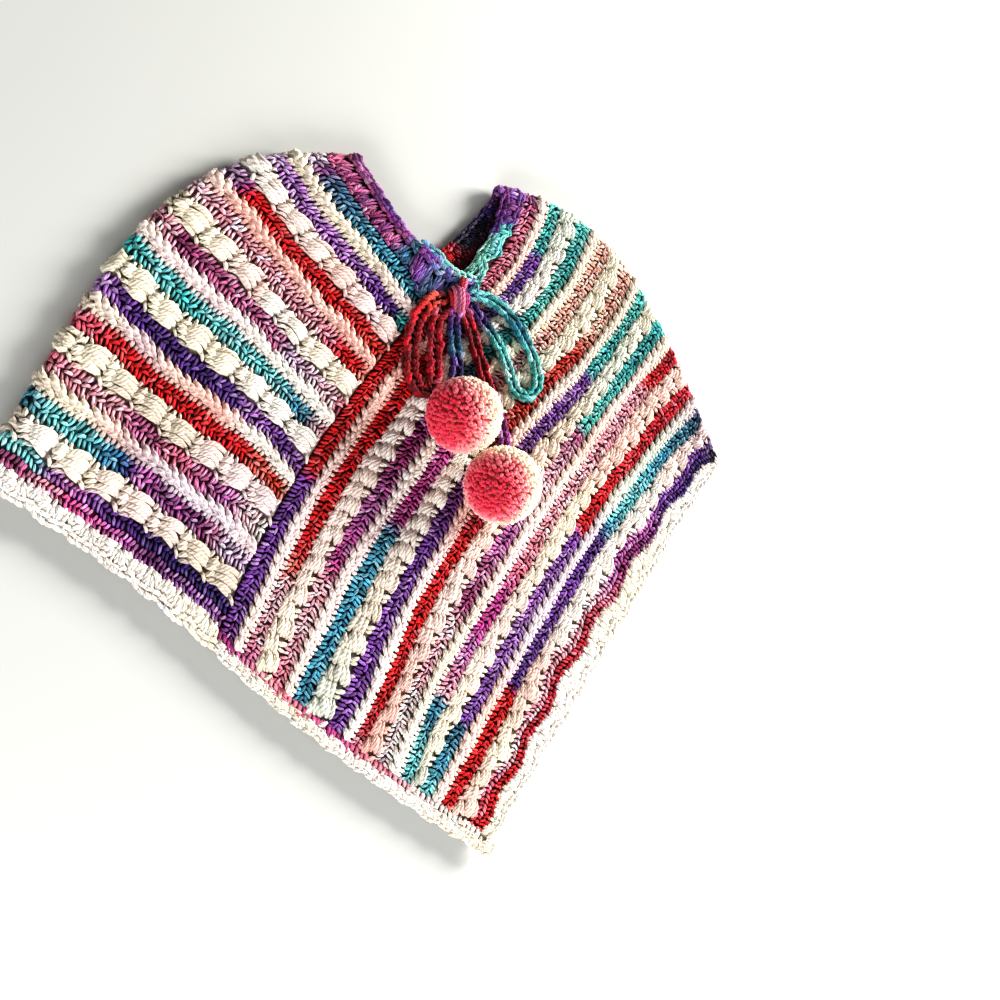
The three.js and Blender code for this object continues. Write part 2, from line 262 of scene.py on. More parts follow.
def yarn_material(name, roughness, sheen, ply_depth, fuzz_depth, groove_shade=0.0):
    """Spun yarn that takes its colour from its points, with painted shade in the grooves between its plies
    and a little painted light on their crowns.
    """
    material = bpy.data.materials.new(name)
    material.use_nodes = True
    tree = material.node_tree
    tree.nodes.clear()
    colour = add_node(tree, "ShaderNodeAttribute", {"attribute_name": "yarn_colour_and_painted_shade"}).outputs["Color"]
    twist = add_node(tree, "ShaderNodeAttribute", {"attribute_name": "twist"}).outputs["Vector"]
    parts = add_node(tree, "ShaderNodeSeparateXYZ", {}, {0: twist}).outputs
    turn = add_node(tree, "ShaderNodeMath", {"operation": "ARCTAN2"}, {0: parts[1], 1: parts[0]}).outputs[0]
    plies = add_node(tree, "ShaderNodeMath", {"operation": "MULTIPLY", 1: PLIES}, {0: turn}).outputs[0]
    along = add_node(tree, "ShaderNodeMath",
                     {"operation": "MULTIPLY", 1: 2 * math.pi * PLIES / (PLY_TURN * MM)},
                     {0: parts[2]}).outputs[0]
    phase = add_node(tree, "ShaderNodeMath", {"operation": "ADD"}, {0: plies, 1: along}).outputs[0]
    wave = add_node(tree, "ShaderNodeMath", {"operation": "SINE"}, {0: phase}).outputs[0]
    place = add_node(tree, "ShaderNodeTexCoord").outputs["Object"]
    fuzz = add_node(tree, "ShaderNodeTexNoise", {"Scale": 1 / (0.9 * MM), "Detail": 2.0},
                    {"Vector": place}).outputs[0]
    plied = add_node(tree, "ShaderNodeBump", {"Distance": ply_depth * MM, "Strength": 0.8},
                     {"Height": wave}).outputs[0]
    fuzzed = add_node(tree, "ShaderNodeBump", {"Distance": fuzz_depth * MM, "Strength": 0.7},
                      {"Height": fuzz, "Normal": plied}).outputs[0]
    shade = add_node(tree, "ShaderNodeMapRange", {"To Min": 0.84, "To Max": 1.18},
                     {"Value": fuzz}).outputs[0]
    # Painted shade: the colour is darker in the grooves between the plies and a little lighter on their
    # crowns.
    painted_groove_shade = add_node(tree, "ShaderNodeMapRange",
                       {"From Min": -1.0, "To Min": 1 - groove_shade, "To Max": 1 + groove_shade / 2},
                       {"Value": wave}).outputs[0]
    fuzz_tone_and_groove_shade = add_node(tree, "ShaderNodeMath", {"operation": "MULTIPLY"}, {0: shade, 1: painted_groove_shade}).outputs[0]
    shaded = add_node(tree, "ShaderNodeVectorMath", {"operation": "SCALE"},
                      {0: colour, "Scale": fuzz_tone_and_groove_shade}).outputs[0]
    surface = add_node(tree, "ShaderNodeBsdfPrincipled",
                       {"Roughness": roughness, "Sheen Weight": sheen, "Sheen Roughness": 0.5, "IOR": 1.47},
                       {"Base Color": shaded, "Normal": fuzzed}).outputs[0]
    add_node(tree, "ShaderNodeOutputMaterial", {}, {"Surface": surface})
    return material


# Spun cotton: matte strands with a soft sheen along them, and painted shade darkening the grooves between
# plies.
cotton_yarn = yarn_material("spun_cotton_yarn", 0.8, 0.12, 0.2, 0.12, 0.2)
# The same yarn deep between the stitches: dull and even, so that it reads as shade.
cotton_ground = yarn_material("crochet_ground", 0.95, 0.0, 0.0, 0.5)
# Cut yarn ends: fibre tips catch the light from the side, which gives a velvety rim.
pompom_yarn = yarn_material("cut_yarn_ends", 0.95, 0.6, 0.0, 0.2)
print("plies turn once in", PLY_TURN, "mm")

# %% [markdown]
# ## The cloth as a surface
#
# Each rectangle lies over the front, round its shoulder fold and over the back. Every
# piece of crochet is placed on that surface by two numbers: a runs across the rows
# from the neck side (0) to the hem side (1), and p runs along them, 0 to 1 over the
# front leaf, 1 to 2 round the fold and 2 to 3 over the back leaf. A cloth simulation
# would settle differently each time and wouldn't match the solids, so the leaves are
# flat patches between curves, as in the solids. They are worked out once on a grid and
# then read from it, which is quick enough for half a million points.

# %% Edges of the leaves
CORNER = {
    "seam_hem": (-115, -78), "front_neck": (10, 131), "front_point": (44, -201),
    "left_neck": (-60, 212), "left_hem": (-234, 13), "right_neck": (60, 213),
    "right_hem": (227, 49), "back_neck": (6, 140), "back_seam_hem": (155, -35),
    "back_point": (36, -178),
}


def towards(degrees):
    """The direction of a heading, counted anticlockwise from the right."""
    turn = math.radians(degrees)
    return np.array([math.cos(turn), math.sin(turn)])


class Edge:
    """A curve on the table from one place to another, read by the share of its length.
    It leaves and arrives on the given headings, and runs on straight past its ends."""

    def __init__(self, start, stop, leave, arrive, pull=1 / 3):
        start, stop = (np.array(CORNER.get(end, end) if isinstance(end, str) else end, float)
                       for end in (start, stop))
        reach = pull * np.linalg.norm(stop - start)
        self.handles = start, start + towards(leave) * reach, stop - towards(arrive) * reach, stop
        self.shares = np.linspace(0, 1, 401)
        steps = np.linalg.norm(np.diff(self.bend(self.shares), axis=0), axis=1)
        self.run = np.concatenate([[0], steps.cumsum()])
        self.length = self.run[-1]

    def bend(self, t):
        t = np.asarray(t)[..., None]
        a, b, c, d = self.handles
        return a * (1 - t) ** 3 + 3 * b * t * (1 - t) ** 2 + 3 * c * t * t * (1 - t) + d * t ** 3

    def heading(self, u):
        t = np.interp(np.clip(u, 0, 1) * self.length, self.run, self.shares)[..., None]
        a, b, c, d = self.handles
        way = (b - a) * (1 - t) ** 2 + 2 * (c - b) * t * (1 - t) + (d - c) * t * t
        return way / np.linalg.norm(way, axis=-1, keepdims=True)

    def __call__(self, u):
        u = np.asarray(u, float)
        inside = np.clip(u, 0, 1)
        t = np.interp(inside * self.length, self.run, self.shares)
        return self.bend(t) + self.heading(inside) * ((u - inside) * self.length)[..., None]


def end_to_end(first, second):
    """Two edges joined, read by the share of their whole length."""
    total = first.length + second.length

    def place(u):
        run = np.asarray(u, float) * total
        near = first(np.minimum(run / first.length, 1))
        far = second(np.maximum((run - first.length) / second.length, 0))
        return np.where((run < first.length)[..., None], near, far)

    return place


def backwards(edge):
    def place(u):
        return edge(1 - np.asarray(u, float))

    return place


front_seam = Edge("seam_hem", "front_neck", 71, 51)
back_seam = Edge("back_neck", "back_seam_hem", -50, -49)
print("front seam", round(front_seam.length), "mm, back seam", round(back_seam.length), "mm")

# %% Folds and leaves
PANEL_WIDTH = 235
CLOTH = 4


def shoulder(outline, radius, side):
    """A fold seen from above: its way out and its axis, at a share a of the outline."""
    def outward(a):
        way = outline.heading(a)
        return np.stack([way[..., 1], -way[..., 0]], axis=-1) * side

    def axis(a):
        return outline(a) - outward(a) * (radius + CLOTH / 2)

    return {"outward": outward, "axis": axis, "radius": radius}


def leaf(neck_side, hem_side, start, end):
    """A flat patch between four edges."""
    corners = [edge(np.array(u, float)) for edge in (start, end) for u in (0, 1)]

    def place(a, b):
        share_a, share_b = a[..., None], b[..., None]
        flat = neck_side(b) * (1 - share_a) + hem_side(b) * share_a
        flat = flat + start(a) * (1 - share_b) + end(a) * share_b
        flat = flat - corners[0] * (1 - share_a) * (1 - share_b) - corners[1] * share_a * (1 - share_b)
        return flat - corners[2] * (1 - share_a) * share_b - corners[3] * share_a * share_b

    return place


left_fold = shoulder(Edge("left_neck", "left_hem", 188, 243, 0.4), 3.8, 1)
right_fold = shoulder(Edge("right_neck", "right_hem", 0, -64, 0.4), 3.9, -1)
left_top, left_low = left_fold["axis"](0), left_fold["axis"](1)
right_top, right_low = right_fold["axis"](0), right_fold["axis"](1)
front_neck_left = Edge("front_neck", left_top, 139, 130)
front_neck_right = Edge("front_neck", right_top, 38, 80, 0.38)
back_neck_left = Edge(left_top, "back_neck", -50, -38)
back_neck_right = Edge(right_top, "back_neck", 250, 224, 0.38)

LEAVES = {
    "left": {
        "fold": left_fold,
        "outer": 1,
        "front": leaf(front_neck_left, Edge("seam_hem", left_low, 138, 147),
                      backwards(front_seam), left_fold["axis"]),
        "back": leaf(end_to_end(back_neck_left, back_seam), Edge(left_low, "back_point", -27, -43, 0.4),
                     left_fold["axis"], backwards(Edge("back_point", "back_seam_hem", 49, 51))),
    },
    "right": {
        "fold": right_fold,
        "outer": -1,
        "front": leaf(end_to_end(front_seam, front_neck_right), Edge("front_point", right_low, 53, 55),
                      Edge("seam_hem", "front_point", -45, -34), right_fold["axis"]),
        "back": leaf(back_neck_right, Edge(right_low, "back_seam_hem", 233, 230),
                     right_fold["axis"], back_seam),
    },
}
print("the neck's edge", round(front_neck_left.length), "mm on the left of the V,",
      round(front_neck_right.length), "mm on the right")

# %% Height of the front
LAYER_GAP = 0.6
LEAF_HEIGHT = CLOTH + LAYER_GAP + CLOTH / 2
SHOULDER_LOFT = 55
SWELLS = [
    {"x": 95, "y": -110, "heading": 55, "long": 60, "wide": 14, "high": 2.2},
    {"x": 160, "y": -25, "heading": 60, "long": 45, "wide": 12, "high": 1.8},
    {"x": 20, "y": -110, "heading": 60, "long": 50, "wide": 16, "high": 1.8},
    {"x": 125, "y": 90, "heading": 55, "long": 70, "wide": 15, "high": 1.6},
    {"x": -100, "y": 60, "heading": -40, "long": 50, "wide": 20, "high": 2.0},
    {"x": -150, "y": 5, "heading": -35, "long": 45, "wide": 14, "high": 1.6},
]


def smooth(share):
    """An eased share: level at 0 and at 1."""
    share = np.clip(share, 0, 1)
    return share * share * (3 - 2 * share)


def front_height(flat, to_fold, radius):
    """Height of the front leaf's middle: it rises to the fold and has soft swells."""
    share = np.clip(1 - to_fold / SHOULDER_LOFT, 0, 1)
    rise = (CLOTH / 2 + 2 * radius - LEAF_HEIGHT) * smooth(share)
    swell = 0
    for s in SWELLS:
        offset = flat - np.array([s["x"], s["y"]])
        lengthways = offset @ towards(s["heading"]) / s["long"]
        sideways = offset @ towards(s["heading"] + 90) / s["wide"]
        swell = swell + s["high"] * np.exp(-(lengthways ** 2) - sideways ** 2)
    return LEAF_HEIGHT + rise + swell * (1 - share)


print("the front's middle lies", LEAF_HEIGHT, "mm high, and", len(SWELLS), "swells lift it")

# %% The cloth on a grid
def cloth_middle(panel, a, p):
    """The middle of a panel's cloth, in millimetres of the lay."""
    fold = panel["fold"]
    axis, outward, radius = fold["axis"](a), fold["outward"](a), fold["radius"]
    front = panel["front"](a, np.minimum(p, 1))
    to_fold = np.linalg.norm(front - axis, axis=-1)
    turn = (np.clip(p, 1, 2) - 1) * math.pi
    round_fold = axis + outward * (radius * np.sin(turn))[..., None]
    back = panel["back"](a, np.maximum(p - 2, 0))
    flat = np.where((p <= 1)[..., None], front, np.where((p < 2)[..., None], round_fold, back))
    bend_height = CLOTH / 2 + radius * (1 + np.cos(turn))
    height = np.where(p <= 1, front_height(front, to_fold, radius), bend_height)
    return np.concatenate([flat, height[..., None]], axis=-1)


class Cloth:
    """A panel's middle surface and outward direction on a grid of a and p, in metres."""

    def __init__(self, name):
        panel = LEAVES[name]
        self.name = name
        self.a = np.linspace(-0.12, 1.1, 123)
        self.p = np.concatenate([np.linspace(-0.14, 1, 172)[:-1], np.linspace(1, 2, 33)[:-1],
                                 np.linspace(2, 3.1, 166)])
        a, p = np.meshgrid(self.a, self.p, indexing="ij")
        self.middle = on_table(cloth_middle(panel, a, p))
        across = np.gradient(self.middle, self.a, axis=0)
        rowwise = np.gradient(self.middle, self.p, axis=1)
        out = np.cross(rowwise, across) * panel["outer"]
        self.out = out / np.linalg.norm(out, axis=-1, keepdims=True)
        row = self.middle[np.argmin(np.abs(self.a - 0.5))]
        run = np.concatenate([[0], np.linalg.norm(np.diff(row, axis=0), axis=1).cumsum()])
        run = run - np.interp(0, self.p, run)
        self.share = run / np.interp(1.5, self.p, run)

    def way(self, p):
        """The share of the way to the shoulder, which counts down again behind it."""
        return np.abs((np.interp(p, self.p, self.share) + 1) % 2 - 1)

    def at(self, a, p, out):
        """Points at a, p and a distance out of the cloth's middle, in metres."""
        i = np.clip(np.interp(a, self.a, np.arange(len(self.a))), 0, len(self.a) - 1.001)
        j = np.clip(np.interp(p, self.p, np.arange(len(self.p))), 0, len(self.p) - 1.001)
        row, column = i.astype(int), j.astype(int)
        u, v = (i - row)[..., None], (j - column)[..., None]

        def read(grid):
            near = grid[row, column] * (1 - v) + grid[row, column + 1] * v
            far = grid[row + 1, column] * (1 - v) + grid[row + 1, column + 1] * v
            return near * (1 - u) + far * u

        return read(self.middle) + read(self.out) * out[..., None]


CLOTHS = {name: Cloth(name) for name in LEAVES}
for name, cloth in CLOTHS.items():
    print(name, "panel's grid", cloth.middle.shape[:2])

# %% [markdown]
# ## Rows and strips
#
# The pattern repeats four rows: a row of colour, a narrow ecru ridge, a row of colour
# and a row of ecru clusters. Two narrow rows of colour end it at the hem. Hand-made
# rows are never quite straight, so a short table of bumps moves them, and the shells
# of the hem pull the last rows into a gentle wave.
#
# A strip is a line along the cloth, such as the middle of a row or an edge: x runs
# along it and y away from it, both in millimetres, so that a stitch can be written
# down flat. Every strip can lay flat places on the cloth and tell which are seen
# from above, where stitches need more sides than those that rest on the table.

# %% Rows
ROW_WIDE = {"colour": 12.3, "ridge": 7.0, "cluster": 11.8, "narrow": 7.2}
REPEAT = ("colour", "ridge", "colour", "cluster")
ROW_KINDS = REPEAT * 5 + ("narrow", "narrow")
wide = np.array([ROW_WIDE[kind] for kind in ROW_KINDS])
ROW_EDGES = np.concatenate([[0], wide.cumsum()]) / wide.sum()
ROW_MIDDLES = (ROW_EDGES[1:] + ROW_EDGES[:-1]) / 2
GROUND_TOP = 0.2
INSIDE_OUT = -1.7
UNDERSIDE = 0.41


def relief(p):
    """How much of their height the stitches keep: less where the cloth rests on the table."""
    return 1 - (1 - UNDERSIDE) * smooth((p - 1.45) / 0.4)


def pressed(cloth, a, p, height, inside):
    """Places a height off the ground of the stitches; none goes through the table."""
    out = (GROUND_TOP + height * relief(p)) * MM
    places = cloth.at(a, p, INSIDE_OUT * MM - height * MM if inside else out)
    places[..., 2] = np.maximum(places[..., 2], 0)
    return places


print(len(ROW_KINDS), "rows; a row of colour is", round(ROW_EDGES[1] * PANEL_WIDTH, 1), "mm wide")

# %% How hand-made rows lie
GATHER = 12 / PANEL_WIDTH


def gathered(cloth, p):
    """How far the right panel's rows are pushed off the neck, under its turned edging."""
    if cloth.name == "left":
        return np.zeros(np.shape(p))
    return GATHER * smooth((p - 0.58) / 0.2) * (1 - smooth((p - 2.2) / 0.7))


DRIFT = {
    "left": [
        {"row": 170, "spread": 75, "share": 0.10, "reach": 0.33, "towards_hem": -6.2},
        {"row": 120, "spread": 90, "share": 0.92, "reach": 0.30, "towards_hem": 3.4},
        {"row": 10, "spread": 35, "share": 0.70, "reach": 0.35, "towards_hem": 2.6},
    ],
    "right": [
        {"row": 102, "spread": 28, "share": 0.05, "reach": 0.14, "towards_hem": 8.5},
        {"row": 158, "spread": 14, "share": 0.00, "reach": 0.07, "towards_hem": 7.5},
        {"row": 236, "spread": 62, "share": 0.36, "reach": 0.20, "towards_hem": -7.0},
        {"row": 236, "spread": 62, "share": 0.66, "reach": 0.18, "towards_hem": -5.5},
        {"row": 136, "spread": 32, "share": 0.80, "reach": 0.14, "towards_hem": -4.5},
        {"row": 205, "spread": 90, "share": 1.00, "reach": 0.08, "towards_hem": 7.5},
    ],
}
HEM = 12
HEM_PULLS = 22
HEM_PULL = {"left": 0.5, "right": 2.3}


def drift(cloth, a, share):
    """How far the hand-made rows have crept off straight, as a share of the panel's width."""
    crept = np.zeros(np.broadcast(a, share).shape)
    for bump in DRIFT[cloth.name]:
        over = (a * PANEL_WIDTH - bump["row"]) / bump["spread"]
        along = (share - bump["share"]) / bump["reach"]
        crept = crept + bump["towards_hem"] / PANEL_WIDTH * np.exp(-over ** 2 - along ** 2)
    return crept * smooth(a / 0.12)


def course(cloth, a, p):
    """Where a stitch at a row share a is worked: rows creep and stray, edgings make it up."""
    share = cloth.way(p)
    free = smooth(a / 0.06) * smooth((1 - a) / 0.06) / PANEL_WIDTH
    stray = 0.9 * np.sin(9.1 * p + 14 * a) + 0.6 * np.sin(21.7 * p - 31 * a + 1)
    stray = stray + 0.4 * np.sin(43 * p + 55 * a)
    push = gathered(cloth, p) * np.clip(1 - a, 0, 1) * (a >= -0.005)
    made_up = np.clip(1 - (a - 1) / (HEM / PANEL_WIDTH), 0, 1)
    crept = drift(cloth, np.minimum(a, 1), share) * made_up
    wave = np.sin(2 * math.pi * HEM_PULLS * p / 3 + 1.3 * np.sin(5 * p))
    pulled = HEM_PULL[cloth.name] / PANEL_WIDTH * wave * smooth((a - 0.88) / 0.09)
    return a + stray * free + push + crept + pulled * made_up


print("the last rows wave by", HEM_PULL, "mm")

# %% Strips on the cloth
def run_along(line, shares):
    """Millimetres along a line of places in metres, counted from where its share is 0."""
    steps = np.linalg.norm(np.diff(line, axis=0), axis=1) / MM
    run = np.concatenate([[0], steps.cumsum()])
    return run - np.interp(0, shares, run)


class Strip:
    """A line along the rows at a share a, from p 0 to 3. y is away from the line,
    towards the neck if side is -1 and towards the hem if it is 1."""

    def __init__(self, cloth, a, side=-1, inside=False, worked=False):
        self.cloth, self.a, self.side, self.inside, self.worked = cloth, a, side, inside, worked
        line = cloth.at(np.full(len(cloth.p), a), cloth.p, np.zeros(len(cloth.p)))
        self.run = run_along(line, cloth.p)

    def x_at(self, p):
        return np.interp(p, self.cloth.p, self.run)

    def fine(self, flat):
        return np.interp(flat[..., 0], self.run, self.cloth.p) < 1.75

    def place(self, flat):
        """Flat millimetres (..., 3) as points on the cloth, in metres."""
        p = np.interp(flat[..., 0], self.run, self.cloth.p)
        a = self.a + self.side * flat[..., 1] / PANEL_WIDTH
        if self.worked:
            a = course(self.cloth, a, p)
        return pressed(self.cloth, a, p, flat[..., 2], self.inside)


class EndStrip:
    """A short end of a panel, at p 0 or 3. x runs from the neck side to the hem side
    and y away from the end."""

    def __init__(self, cloth, end):
        self.cloth, self.end = cloth, end
        line = cloth.at(cloth.a, np.full(len(cloth.a), float(end)), np.zeros(len(cloth.a)))
        self.run = run_along(line, cloth.a)
        self.away = -1 if end == 0 else 1
        near = cloth.at(cloth.a, np.full(len(cloth.a), end - self.away * 0.1), np.zeros(len(cloth.a)))
        self.whole = np.linalg.norm(near - line, axis=1) / MM / 0.1

    def x_at(self, a):
        return np.interp(a, self.cloth.a, self.run)

    def fine(self, flat):
        return np.full(flat.shape[:-1], self.end == 0)

    def place(self, flat):
        a = np.interp(flat[..., 0], self.run, self.cloth.a)
        p = self.end + self.away * flat[..., 1] / np.interp(a, self.cloth.a, self.whole)
        return pressed(self.cloth, a, p, flat[..., 2], False)


for name, cloth in CLOTHS.items():
    middle = Strip(cloth, 0.5)
    print(f"{name}: middle row {middle.x_at(3.0):.0f} mm long, fold at {middle.x_at(1.5):.0f} mm")

# %% Free strips
ROUTE_STEPS = 161
REST = LEAF_HEIGHT + CLOTH / 2 + 0.3


class SeenFromAbove:
    """A strip whose stitches all show."""

    def fine(self, flat):
        return np.full(flat.shape[:-1], True)


def through(points, steps):
    """A smooth curve through points, evenly along its length, and the length."""
    points = np.array(points, float)
    points = np.concatenate([[2 * points[0] - points[1]], points, [2 * points[-1] - points[-2]]])
    knots = np.concatenate([[0], np.sqrt(np.linalg.norm(np.diff(points, axis=0), axis=1)).cumsum()])
    pieces = []
    for i in range(1, len(points) - 2):
        t = np.linspace(knots[i], knots[i + 1], 24, endpoint=False)[:, None]
        k = knots[i - 1:i + 3]
        p = points[i - 1:i + 3]
        first = [(p[j] * (k[j + 1] - t) + p[j + 1] * (t - k[j])) / (k[j + 1] - k[j]) for j in range(3)]
        second = [(first[j] * (k[j + 2] - t) + first[j + 1] * (t - k[j])) / (k[j + 2] - k[j])
                  for j in range(2)]
        pieces.append((second[0] * (k[2] - t) + second[1] * (t - k[1])) / (k[2] - k[1]))
    line = np.concatenate(pieces + [points[-2:-1]])
    run = np.concatenate([[0], np.linalg.norm(np.diff(line, axis=0), axis=1).cumsum()])
    even = np.linspace(0, run[-1], steps)
    return np.stack([np.interp(even, run, line[:, k]) for k in range(2)], axis=1), run[-1]


class Route(SeenFromAbove):
    """The strip of a cord: x runs along its middle, y to its left and z up."""

    def __init__(self, points, height):
        flat, self.length = through(points, ROUTE_STEPS)
        self.line = np.column_stack([flat, np.full(ROUTE_STEPS, float(height))])
        way = np.gradient(self.line, axis=0)
        self.way = way / np.linalg.norm(way, axis=1, keepdims=True)
        self.left = np.cross((0.0, 0.0, 1.0), self.way)
        self.run = np.linspace(0, self.length, ROUTE_STEPS)

    def read(self, grid, x):
        return np.stack([np.interp(x, self.run, grid[:, k]) for k in range(3)], axis=-1)

    def place(self, flat):
        x = flat[..., 0]
        over = (x - np.clip(x, 0, self.length))[..., None]
        middle = self.read(self.line, x) + self.read(self.way, x) * over
        places = middle + self.read(self.left, x) * flat[..., 1:2] + flat[..., 2:3] * (0, 0, 1)
        return on_table(places)


print("cords rest", round(REST, 1), "mm above the table")

# %% [markdown]
# ## The colour chart
#
# The colours of a variegated yarn drift along a row, and the pale rows take a tinge
# from it too. Each row is written as the colours that it passes, at percents of the
# way from its front end (0) to its shoulder (100). Past the shoulder the same yarn
# runs on, so the chart is read back and forth.

# %% Row chart
CHART = {
    "left": {
        1: "0 slate, 8 ocean, 35 ocean, 55 deep_teal, 80 slate, 88 plum, 95 lilac, 100 ecru",
        2: "0 dusk, 15 shell, 30 oat, 45 cream, 85 oat, 100 cream",
        3: "0 teal, 6 teal, 9 deep_purple, 25 purple, 50 violet, 90 violet, 100 lilac",
        4: "0 peach, 15 blush, 40 peach, 55 shell, 75 shell, 90 ecru, 100 ecru",
        5: "0 brick, 20 red, 84 red, 90 plum, 100 lilac",
        6: "0 rosy, 20 rosy, 35 peach, 50 rosy, 85 rosy, 100 shell",
        7: "0 salmon, 4 red, 14 red, 22 rose, 30 pink, 85 pink, 100 pale_pink",
        8: "0 shell, 10 cream, 45 ecru, 55 peach, 65 shell, 80 cream, 100 cream",
        9: "0 rose, 6 pale_pink, 30 lilac, 36 mauve, 70 mauve, 86 dark_magenta, 92 pink, 100 pink",
        10: "0 ecru, 40 ecru, 60 blush, 80 blush, 100 shell",
        11: "0 pink, 5 pale_pink, 10 deep_teal, 18 ocean, 24 aqua, 55 aqua, 72 teal, 85 aqua, 100 teal",
        12: "0 ecru, 30 ecru, 50 cream, 100 cream",
        13: "0 violet, 10 purple, 30 violet, 36 deep_purple, 80 deep_purple, 92 purple, 100 violet",
        14: "0 ecru, 25 ecru, 38 rosy, 60 peach, 75 dusk, 85 shell, 100 oat",
        15: "0 salmon, 4 orange_red, 18 coral, 22 red, 82 red, 90 red_pink, 100 rose",
        16: "0 blush, 20 blush, 35 shell, 45 oat, 70 oat, 80 cream, 100 cream",
        17: "0 ecru, 10 pale_pink, 20 orchid, 45 rose, 54 mauve, 64 mauve, 70 pink, 90 pink, 100 rose",
        18: "0 blush, 15 haze, 40 haze, 55 dusk, 70 peach, 82 cream, 100 oat",
        19: "0 lilac, 12 lilac, 18 mauve, 26 plum, 34 orchid, 40 plum, 52 orchid, 56 deep_purple, "
            "60 blue, 70 ocean, 76 aqua, 90 aqua, 100 deep_teal",
        20: "0 oat, 20 oat, 40 shell, 55 shell, 70 cream, 90 ecru, 100 oat",
        21: "0 indigo, 35 indigo, 45 deep_purple, 62 purple, 70 orchid, 80 violet, 86 aqua, 100 aqua",
        22: "0 plum, 8 violet, 36 plum, 45 orchid, 70 hot_pink, 80 pink, 88 mauve, 100 dark_magenta",
    },
    "right": {
        1: "0 plum, 4 purple, 29 purple, 31 red, 62 red, 68 rose, 93 rose, 100 plum",
        2: "0 shell, 25 blush, 40 peach, 55 rosy, 85 peach, 100 shell",
        3: "0 mauve, 4 pink, 12 pale_pink, 16 coral, 19 red, 62 red, 70 purple, 77 lavender, "
           "80 deep_purple, 88 purple, 90 teal, 100 sea",
        4: "0 cream, 20 shell, 35 shell, 45 ecru, 80 ecru, 95 mist, 100 mist",
        5: "0 rose, 5 pink, 10 pale_pink, 17 pink, 21 magenta, 30 orchid, 42 dark_magenta, 55 plum, "
           "66 teal, 85 sea, 92 teal, 100 sea",
        6: "0 shell, 30 blush, 40 ecru, 75 cream, 100 oat",
        7: "0 deep_teal, 5 ocean, 30 ocean, 33 magenta, 48 magenta, 60 pink, 80 salmon, 100 salmon",
        8: "0 mist, 20 oat, 35 ecru, 80 cream, 100 cream",
        9: "0 purple, 36 purple, 44 plum, 55 brick, 79 brick, 84 salmon, 100 salmon",
        10: "0 ecru, 30 blush, 45 rosy, 70 shell, 85 oat, 100 oat",
        11: "0 pink, 3 red_pink, 8 red, 36 red, 46 dark_red, 56 plum, 60 purple, 77 purple, 79 teal, "
            "100 sea",
        12: "0 rosy, 15 peach, 30 shell, 45 peach, 70 oat, 85 mist, 100 cream",
        13: "0 blush, 12 blush, 16 pink, 26 pale_pink, 30 dark_magenta, 36 mauve, 45 orchid, "
            "55 pale_pink, 69 mauve, 71 sea, 88 teal, 100 teal",
        14: "0 ecru, 20 cream, 35 shell, 45 blush, 60 shell, 70 peach, 85 shell, 100 oat",
        15: "0 aqua, 7 aqua, 10 deep_teal, 14 ocean, 16 pink, 25 orchid, 29 magenta, 36 magenta, "
            "42 rose, 52 pink, 86 pink, 90 red, 100 dark_red",
        16: "0 mist, 12 cream, 30 shell, 60 cream, 70 peach, 100 peach",
        17: "0 aqua, 5 ocean, 13 deep_teal, 15 purple, 36 violet, 56 purple, 58 red, 100 crimson",
        18: "0 shell, 20 peach, 35 haze, 60 haze, 70 mist, 85 mist, 100 dusk",
        19: "0 red, 24 red, 26 deep_purple, 45 purple, 60 deep_purple, 64 ocean, 70 aqua, 84 ocean, "
            "94 deep_teal, 100 navy",
        20: "0 peach, 15 cream, 30 peach, 42 ecru, 75 ecru, 85 shell, 100 dusk",
        21: "0 red, 10 rose, 16 pale_pink, 24 pink, 42 pink, 50 pale_pink, 58 orchid, 72 orchid, "
            "78 purple, 90 purple, 100 night",
        22: "0 red, 14 red, 20 crimson, 45 crimson, 54 rose, 60 dark_magenta, 72 plum, "
            "80 deep_purple, 92 indigo, 100 night",
    },
}
print({side: len(rows) for side, rows in CHART.items()}, "rows in the chart")

# %% Reading the chart
def chart_line(text, whole=100):
    """A line of a chart, such as "0 red, 40 pink": its places as shares, and its colours."""
    stops = [stop.split() for stop in text.split(", ")]
    return [float(place) / whole for place, _ in stops], np.array([YARN[yarn] for _, yarn in stops])


def colour_at(line, share):
    """The linear colours of a chart's line at shares of its way."""
    places, colours = line
    return np.stack([np.interp(share, places, colours[:, k]) for k in range(3)], axis=-1)


def row_colour(side, row, share):
    """The linear yarn colour of a row at shares of the way to its shoulder."""
    return colour_at(ROWS[side][row], np.abs((np.asarray(share, float) + 1) % 2 - 1))


ROWS = {side: {row: chart_line(text) for row, text in rows.items()} for side, rows in CHART.items()}
print("row 1 on the left starts as", row_colour("left", 1, 0.0).round(2))

# %% [markdown]
# ## The cloth walls
#
# Crochet could be built from its strands alone, but light would then come through it
# and the panel wouldn't be one closed sheet. So a smooth wall with the cloth's
# thickness lies under the stitches. What shows of it between strands is yarn in deep
# shade, and it takes its row's colour, darkened.

